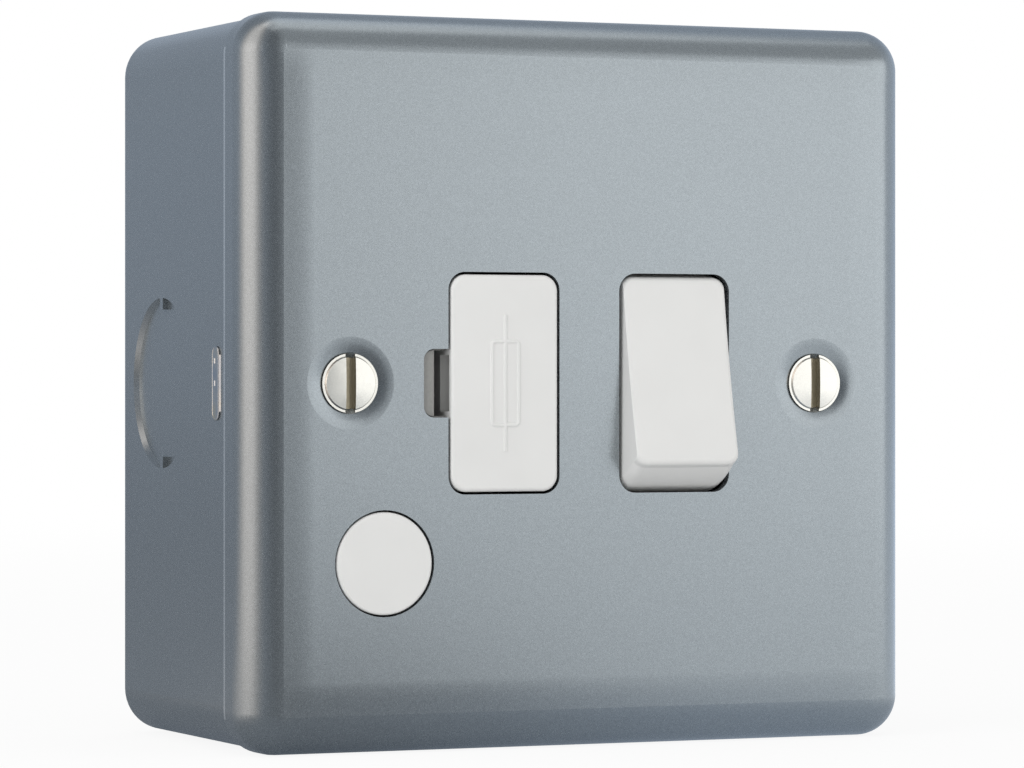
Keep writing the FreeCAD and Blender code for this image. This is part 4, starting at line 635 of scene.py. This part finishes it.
def pale_floor(studio):
    """A floor that the camera sees as white, apart from the object's soft shadow."""
    made, tree, shader, place = material("pale_paper_floor")
    # Fibres of the paper roll, too faint to see at this distance.
    fibres = clouds(tree, place, 1.5)
    tone = ramp(tree, fibres, [(0.3, (0.86, 0.86, 0.86, 1.0)), (0.7, (0.9, 0.9, 0.9, 1.0))])
    finish(tree, shader, tone, spread(tree, fibres, 0.85, 0.95), relief(tree, fibres, 0.005))
    shader.inputs["Specular IOR Level"].default_value = 0.0
    paths = node(tree, "ShaderNodeLightPath").outputs
    camera = paths["Is Camera Ray"]
    shiny = maths(tree, "MAXIMUM", paths["Is Glossy Ray"], paths["Is Transmission Ray"])
    seen = maths(tree, "MAXIMUM", camera, shiny)
    # Painted reflection: to reflections the floor glows with the tones of the room over it, with a painted
    # shadow beside the object and painted light that grows towards its right.
    spot, away = axes(tree, place), length(tree, place)
    near = rise(tree, away, start=0.065, end=0.11, low=1.0, high=0.0)
    tones = blend(tree, near, room_tones(tree, spot), shade(COOL_LIGHT, studio.floor_near))
    shown = blend(tree, camera, tones, WHITE)
    lit = rise(tree, spot["X"], start=-0.04, end=0.03, low=0.85, high=studio.floor_level)
    strength = node(tree, "ShaderNodeMix", {"Factor": camera, "A": lit, "B": 1.0}).outputs["Result"]
    glow = node(tree, "ShaderNodeEmission", {"Color": shown, "Strength": strength})
    # Away from the object the floor turns wholly white, so that it has no edge.
    fade = rise(tree, away, start=0.1, end=0.9, low=studio.floor_white, high=1.0)
    part = maths(tree, "MULTIPLY", seen, fade)
    mixed = node(tree, "ShaderNodeMixShader", {0: part, 1: shader.outputs[0], 2: glow.outputs[0]})
    output = next(item for item in tree.nodes if item.type == "OUTPUT_MATERIAL")
    tree.links.new(mixed.outputs[0], output.inputs["Surface"])
    return made


def lay_floor(studio):
    """A broad floor level with the object's lower edge."""
    reach, level = 3.0, CAD_BOX[0].z
    mesh = bpy.data.meshes.new("pale_floor")
    corners = ((-reach, -reach), (reach, -reach), (reach, reach), (-reach, reach))
    mesh.from_pydata([(*corner, level) for corner in corners], [], [(0, 1, 2, 3)])
    mesh.materials.append(pale_floor(studio))
    put("pale_floor", mesh)


def hang_lamps(studio):
    """The key at the right, a strip of light on the left side, and a lamp overhead."""
    softbox(
        "key_softbox", azimuth=40, elevation=-2, distance=0.6, width=0.6, height=0.6,
        level=studio.key_level, tint=studio.key_tint,
    )
    side = softbox(
        "side_softbox", azimuth=-66, elevation=6, distance=0.5, width=0.4, height=0.6,
        level=studio.side_level, tint=studio.side_tint,
    )
    # In reflections the warm strip of the room's tones stands for this lamp.
    side.visible_glossy = False
    softbox(
        "top_softbox", azimuth=20, elevation=78, distance=0.5, width=0.4, height=0.3,
        level=studio.top_level, tint=studio.key_tint,
    )


def set_camera(studio):
    """A level camera in front of the face, to its left."""
    camera = bpy.data.cameras.new("photo_camera")
    camera.lens = studio.lens
    camera.sensor_width = 36.0
    camera.shift_y = studio.horizon_shift
    camera.clip_start, camera.clip_end = 0.01, 20.0
    item = put("photo_camera", camera)
    look = Vector((math.sin(studio.view_angle), math.cos(studio.view_angle), 0.0))
    aim = Vector((studio.aim_across, -studio.face_depth, studio.aim_up))
    item.location = aim - look * studio.view_distance
    item.rotation_euler = look.to_track_quat("-Z", "Y").to_euler()
    bpy.context.scene.camera = item


class SpurUnitColours(bpy.types.PropertyGroup):
    """Base colours of the finishes."""

    paint: bpy.props.FloatVectorProperty(
        name="Paint", description="Metallic powder coat of the box and plate", subtype="COLOR", size=3,
        min=0.0, max=1.0, default=linear("#969DA1"),
    )
    white: bpy.props.FloatVectorProperty(
        name="White Mouldings", description="Fuse carrier, rocker, blank and cord clamp", subtype="COLOR",
        size=3, min=0.0, max=1.0, default=linear("#E1E1DF"),
    )
    grey: bpy.props.FloatVectorProperty(
        name="Grey Mouldings", description="The mechanism's mouldings behind the plate", subtype="COLOR",
        size=3, min=0.0, max=1.0, default=linear("#8F8F8C"),
    )
    nickel: bpy.props.FloatVectorProperty(
        name="Nickel Plate", description="Screws and nuts", subtype="COLOR", size=3, min=0.0, max=1.0,
        default=linear("#DCDAD3"),
    )
    zinc: bpy.props.FloatVectorProperty(
        name="Zinc Plate", description="Fixing lugs and studs", subtype="COLOR", size=3, min=0.0, max=1.0,
        default=linear("#CDCFCF"),
    )
    brass: bpy.props.FloatVectorProperty(
        name="Brass", description="Terminals, links, strap and fuse caps", subtype="COLOR", size=3, min=0.0,
        max=1.0, default=linear("#E0BE78"),
    )
    silver: bpy.props.FloatVectorProperty(
        name="Silver", description="Contact rivets", subtype="COLOR", size=3, min=0.0, max=1.0,
        default=linear("#EDEBE6"),
    )
    spring: bpy.props.FloatVectorProperty(
        name="Spring Steel", description="Springs behind the plungers", subtype="COLOR", size=3, min=0.0,
        max=1.0, default=linear("#B5B4B0"),
    )
    ceramic: bpy.props.FloatVectorProperty(
        name="Ceramic", description="The fuse's tube", subtype="COLOR", size=3, min=0.0, max=1.0,
        default=linear("#E6E1D5"),
    )


class SpurUnitDetails(bpy.types.PropertyGroup):
    """Sizes of the markings, threads, soft slopes and bare edges."""

    screw_place: bpy.props.FloatProperty(
        name="Screw Place", description="From the middle to each fixing screw's axis",
        default=middle_across("right_plate_screw"), unit="LENGTH",
    )
    slot_floor: bpy.props.FloatProperty(
        name="Slot Floor", description="Where the floor of the fixing screws' slots lies along Y",
        default=-0.0441, unit="LENGTH",
    )
    # How far up from a slot's floor the fixing screws' slots turn browner and darker.
    darkening_depth: bpy.props.FloatProperty(
        name="Grime Depth", description="How far up from a slot's floor its grime reaches",
        default=0.00045, unit="LENGTH",
    )
    # Pocket Rim and Pocket Floor bound the painted shade that darkens the grey moulding's deep pockets.
    pocket_rim: bpy.props.FloatProperty(
        name="Pocket Rim", description="Where the dark film of the grey moulding's pockets starts along Y",
        default=-0.044, unit="LENGTH",
    )
    pocket_floor: bpy.props.FloatProperty(
        name="Pocket Floor", description="Where that film is at its darkest along Y", default=-0.0431,
        unit="LENGTH",
    )
    crown_start: bpy.props.FloatProperty(
        name="Crown Start", description="From the middle to where the plate's edges start to roll",
        default=0.038, unit="LENGTH",
    )
    crown_width: bpy.props.FloatProperty(
        name="Crown Width", description="Width of the soft slope beside the plate's rolled edges",
        default=0.0035, unit="LENGTH",
    )
    crown_drop: bpy.props.FloatProperty(
        name="Crown Drop", description="How far the soft slope draws the plate down", default=0.00033,
        unit="LENGTH",
    )
    symbol_width: bpy.props.FloatProperty(
        name="Symbol Width", description="Width of the fuse symbol's box", default=0.0034, unit="LENGTH",
    )
    symbol_height: bpy.props.FloatProperty(
        name="Symbol Height", description="Height of the fuse symbol's box", default=0.0098, unit="LENGTH",
    )
    symbol_lead: bpy.props.FloatProperty(
        name="Symbol Lead", description="How far the symbol's line runs past its box", default=0.0031,
        unit="LENGTH",
    )
    symbol_line: bpy.props.FloatProperty(
        name="Symbol Line", description="Width of the symbol's raised line", default=0.0006, unit="LENGTH",
    )
    screw_radius: bpy.props.FloatProperty(
        name="Screw Radius", description="Radius of the fixing screws over their thread", default=0.00175,
        unit="LENGTH",
    )
    screw_lead: bpy.props.FloatProperty(
        name="Screw Lead", description="From the fixing screws' tips to where their thread starts",
        default=0.0008, unit="LENGTH",
    )
    screw_pitch: bpy.props.FloatProperty(
        name="Screw Pitch", description="Pitch of the fixing screws' thread", default=0.0006, unit="LENGTH",
    )
    screw_thread: bpy.props.FloatProperty(
        name="Screw Thread", description="Length of the fixing screws' thread", default=0.016,
        unit="LENGTH",
    )
    stud_radius: bpy.props.FloatProperty(
        name="Stud Radius", description="Radius of the studs over their thread", default=0.0015,
        unit="LENGTH",
    )
    stud_thread: bpy.props.FloatProperty(
        name="Stud Thread", description="Length of the studs' thread", default=0.005, unit="LENGTH",
    )
    stud_pitch: bpy.props.FloatProperty(
        name="Stud Pitch", description="Pitch of the studs' thread", default=0.0005, unit="LENGTH",
    )
    thread_crest: bpy.props.FloatProperty(
        name="Thread Crest", description="How far a thread's crest stands out of its core",
        default=0.00004, unit="LENGTH",
    )
    bare_edge: bpy.props.FloatProperty(
        name="Bare Edge", description="Width of the bright burr on the lugs' tabs", default=0.00026,
        unit="LENGTH",
    )
    plate_half: bpy.props.FloatProperty(
        name="Plate Half Width", description="From the middle to the plate's outer edges",
        default=PLATE_BOX[1].x, unit="LENGTH",
    )
    plate_back: bpy.props.FloatProperty(
        name="Plate Back", description="Where the edge round the plate's back lies along Y",
        default=PLATE_BOX[1].y, unit="LENGTH",
    )
    # The pale line round the plate's back is partly thin coat and partly a painted highlight.
    rim_width: bpy.props.FloatProperty(
        name="Rim Width", description="Width of the thinly painted edge round the plate's back",
        default=0.0006, unit="LENGTH",
    )
    tab_thick: bpy.props.FloatProperty(
        name="Tab Thickness", description="Thickness of the lugs' tabs", default=0.002, unit="LENGTH",
    )
    tab_long: bpy.props.FloatProperty(
        name="Tab Length", description="Length of the lugs' tabs along Z", default=0.0084, unit="LENGTH",
    )
    tab_round: bpy.props.FloatProperty(
        name="Tab Round", description="Radius of the tabs' corners", default=0.0009, unit="LENGTH",
    )
    lip_wide: bpy.props.FloatProperty(
        name="Lip Width", description="Width of the bright lip along the front of a lug's slot",
        default=0.0003, unit="LENGTH",
    )
    lip_high: bpy.props.FloatProperty(
        name="Lip Height", description="How far that lip stands out of the box", default=0.0002,
        unit="LENGTH",
    )
    stake_wide: bpy.props.FloatProperty(
        name="Stake Width", description="Width of a stake mark", default=0.0006, unit="LENGTH",
    )
    stake_up: bpy.props.FloatProperty(
        name="Stake Mark", description="Height of the upper stake mark over the lower one", default=0.0026,
        unit="LENGTH",
    )


class SpurUnitStudio(bpy.types.PropertyGroup):
    """The camera and the light."""

    view_angle: bpy.props.FloatProperty(
        name="View Angle", description="How far to the object's left the camera stands",
        default=math.radians(23.733), subtype="ANGLE",
    )
    view_distance: bpy.props.FloatProperty(
        name="View Distance", description="From the camera to the point of the face that it looks at",
        default=0.535, unit="LENGTH",
    )
    aim_across: bpy.props.FloatProperty(
        name="Aim Across", description="Where on the face the camera looks, along X", default=-0.00982,
        unit="LENGTH",
    )
    aim_up: bpy.props.FloatProperty(
        name="Aim Up", description="Height of the camera", default=0.00043, unit="LENGTH",
    )
    face_depth: bpy.props.FloatProperty(
        name="Face Depth", description="From the wall to the face", default=-PLATE_BOX[0].y,
        unit="LENGTH",
    )
    lens: bpy.props.FloatProperty(
        name="Lens", description="Focal length for a 36 mm wide sensor", default=160.5, unit="CAMERA",
    )
    horizon_shift: bpy.props.FloatProperty(
        name="Horizon Shift", description="Vertical shift that sets the horizon in the frame",
        default=-0.0044,
    )
    fill_level: bpy.props.FloatProperty(
        name="Fill", description="Light from all round", default=0.72, min=0.0,
    )
    key_level: bpy.props.FloatProperty(
        name="Key", description="Brightness of the large softbox at the right", default=0.91, min=0.0,
    )
    key_tint: bpy.props.FloatVectorProperty(
        name="Key Tint", description="Colour of the key and the top light", subtype="COLOR", size=3,
        min=0.0, max=1.0, default=(1.0, 0.985, 0.965),
    )
    side_level: bpy.props.FloatProperty(
        name="Side", description="Brightness of the softbox at the left", default=2.2, min=0.0,
    )
    side_tint: bpy.props.FloatVectorProperty(
        name="Side Tint", description="Colour of the softbox at the left", subtype="COLOR", size=3,
        min=0.0, max=1.0, default=(0.97, 0.98, 1.0),
    )
    top_level: bpy.props.FloatProperty(
        name="Top", description="Brightness of the softbox overhead", default=0.7, min=0.0,
    )
    floor_near: bpy.props.FloatProperty(
        name="Floor Near", description="How bright a reflection shows the floor beside the object",
        default=0.26, min=0.0, max=1.0,
    )
    floor_level: bpy.props.FloatProperty(
        name="Floor Level", description="How much brighter than the room the floor shines at the right",
        default=2.2, min=0.0,
    )
    floor_white: bpy.props.FloatProperty(
        name="Floor White", description="How much of the floor is plain white to the camera",
        default=0.9, min=0.0, max=1.0,
    )


class SpurUnitPaint(bpy.types.Operator):
    """Powder-coat the back box and the front plate"""

    bl_idname = "spur_unit.paint"
    bl_label = "Paint Box and Plate"

    def execute(self, context):
        dress(metallic_powder_coat(context.scene.spur_colours.paint), PAINTED)
        return {"FINISHED"}


class SpurUnitMouldings(bpy.types.Operator):
    """Finish the white and grey mouldings and the fuse's tube"""

    bl_idname = "spur_unit.mouldings"
    bl_label = "Finish Mouldings"

    def execute(self, context):
        colours = context.scene.spur_colours
        dress(white_thermoset(colours.white), WHITE_MOULDINGS)
        dress(grey_thermoset(colours.grey), GREY_MOULDINGS)
        dress(glazed_ceramic(colours.ceramic), ["fuse_tube"])
        return {"FINISHED"}


class SpurUnitMetal(bpy.types.Operator):
    """Finish the screws, lugs, brass parts, contacts and springs"""

    bl_idname = "spur_unit.metal"
    bl_label = "Finish Metal Parts"

    def execute(self, context):
        colours = context.scene.spur_colours
        dress(turned_nickel(colours.nickel), PLATE_SCREWS)
        dress(plain_nickel(colours.nickel), PLAIN_SCREWS)
        dress(bright_zinc(colours.zinc), ZINC_PARTS)
        dress(aged_brass(colours.brass), BRASS_PARTS)
        dress(silver_contact(colours.silver), SILVER_PARTS)
        dress(spring_steel(colours.spring), ["plunger_springs"])
        return {"FINISHED"}


class SpurUnitSymbol(bpy.types.Operator):
    """Raise the general fuse symbol on the carrier's face"""

    bl_idname = "spur_unit.symbol"
    bl_label = "Add Fuse Symbol"

    def execute(self, context):
        details = context.scene.spur_details
        middle = middle_across("fuse_carrier")
        radius = details.symbol_line / 2
        # The bead's axis lies half its radius under the face, so that only its crown stands out.
        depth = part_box("fuse_carrier")[0].y + radius / 2
        corner = 0.7 * details.symbol_line
        ring = rounded_box(details.symbol_width, details.symbol_height, corner)
        end = details.symbol_height / 2 + details.symbol_lead
        line = [(middle, depth, up) for up in (-end, 0.0, end)]
        paths = [([(middle + spot.x, depth, spot.y) for spot in ring], True), (line, False)]
        settle(
            "fuse_symbol", bead("fuse_symbol", paths, radius), bpy.data.materials["smooth_white_thermoset"],
            "fuse_carrier",
        )
        return {"FINISHED"}


class SpurUnitThreads(bpy.types.Operator):
    """Wind the threads of the fixing screws and the studs"""

    bl_idname = "spur_unit.threads"
    bl_label = "Wind Threads"

    def execute(self, context):
        details = context.scene.spur_details
        crest = details.thread_crest
        starts = [
            (middle_across(name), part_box(name)[1].y - details.screw_lead, 0.0) for name in PLATE_SCREWS
        ]
        sizes = {
            "Core Radius": details.screw_radius - crest, "Pitch": details.screw_pitch,
            "Length": details.screw_thread, "Crest": 2 * crest,
        }
        threads(
            "fixing_screw_threads", starts, sizes, bpy.data.materials["nickel_plated_steel"]
        )
        low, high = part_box("plate_studs")
        radius = details.stud_radius
        # Both leads count from the tip of the lower stud, which is the longer one.
        upper_lead, lower_lead = 0.001, 0.0004
        starts = [
            (low.x + radius, high.y - upper_lead, high.z - radius),
            (high.x - radius, high.y - lower_lead, low.z + radius),
        ]
        sizes = {
            "Core Radius": radius - crest, "Pitch": details.stud_pitch, "Length": details.stud_thread,
            "Crest": 2 * crest,
        }
        threads(
            "stud_threads", starts, sizes, bpy.data.materials["bright_zinc_plated_steel"]
        )
        return {"FINISHED"}


class SpurUnitLugs(bpy.types.Operator):
    """Bare the steel round the lug slots and mark the staked ends of the tabs"""

    bl_idname = "spur_unit.lugs"
    bl_label = "Mark Staked Lugs"

    def execute(self, context):
        details = context.scene.spur_details
        finish_made = bpy.data.materials["bright_zinc_plated_steel"]
        for name, side in (("left_fixing_lug", -1), ("right_fixing_lug", 1)):
            mesh = lug_burr(name, side, details)
            settle(f"{name}_burr", mesh, finish_made, "housing")
            mesh = lips(side, details, lip_places(name, side, details))
            made = settle(f"{name}_lips", mesh, finish_made, "housing")
            for face in made.data.polygons:
                face.use_smooth = False
        return {"FINISHED"}


class SpurUnitStage(bpy.types.Operator):
    """Set up the floor, the light and the camera"""

    bl_idname = "spur_unit.stage"
    bl_label = "Set Up Studio"

    def execute(self, context):
        scene = context.scene
        studio = scene.spur_studio
        scene.view_settings.view_transform = "Standard"
        scene.world = studio_world(studio)
        lay_floor(studio)
        hang_lamps(studio)
        set_camera(studio)
        return {"FINISHED"}


class SpurUnitPanel(bpy.types.Panel):
    """Sizes, colours and steps of the spur unit's looks"""

    bl_idname = "VIEW3D_PT_spur_unit"
    bl_label = "Spur Unit"
    bl_space_type = "VIEW_3D"
    bl_region_type = "UI"
    bl_category = "Spur Unit"

    def draw(self, context):
        scene = context.scene
        for title, group in (
            ("Colours", scene.spur_colours), ("Details", scene.spur_details), ("Studio", scene.spur_studio),
        ):
            column = self.layout.column(align=True)
            column.label(text=title)
            for key in group.__annotations__:
                column.prop(group, key)
        column = self.layout.column(align=True)
        for operator in STEPS:
            column.operator(operator.bl_idname)


GROUPS = (
    ("spur_colours", SpurUnitColours), ("spur_details", SpurUnitDetails), ("spur_studio", SpurUnitStudio),
)
STEPS = (
    SpurUnitPaint, SpurUnitMouldings, SpurUnitMetal, SpurUnitSymbol, SpurUnitThreads, SpurUnitLugs,
    SpurUnitStage,
)


def register():
    for name, group in GROUPS:
        bpy.utils.register_class(group)
        setattr(bpy.types.Scene, name, bpy.props.PointerProperty(type=group))
    for made in (*STEPS, SpurUnitPanel):
        bpy.utils.register_class(made)


def unregister():
    for made in reversed((*STEPS, SpurUnitPanel)):
        bpy.utils.unregister_class(made)
    for name, group in reversed(GROUPS):
        delattr(bpy.types.Scene, name)
        bpy.utils.unregister_class(group)


def main():
    """Register the add-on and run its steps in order."""
    register()
    bpy.ops.spur_unit.paint()
    bpy.ops.spur_unit.mouldings()
    bpy.ops.spur_unit.metal()
    bpy.ops.spur_unit.symbol()
    bpy.ops.spur_unit.threads()
    bpy.ops.spur_unit.lugs()
    bpy.ops.spur_unit.stage()


if __name__ == "__main__":
    main()
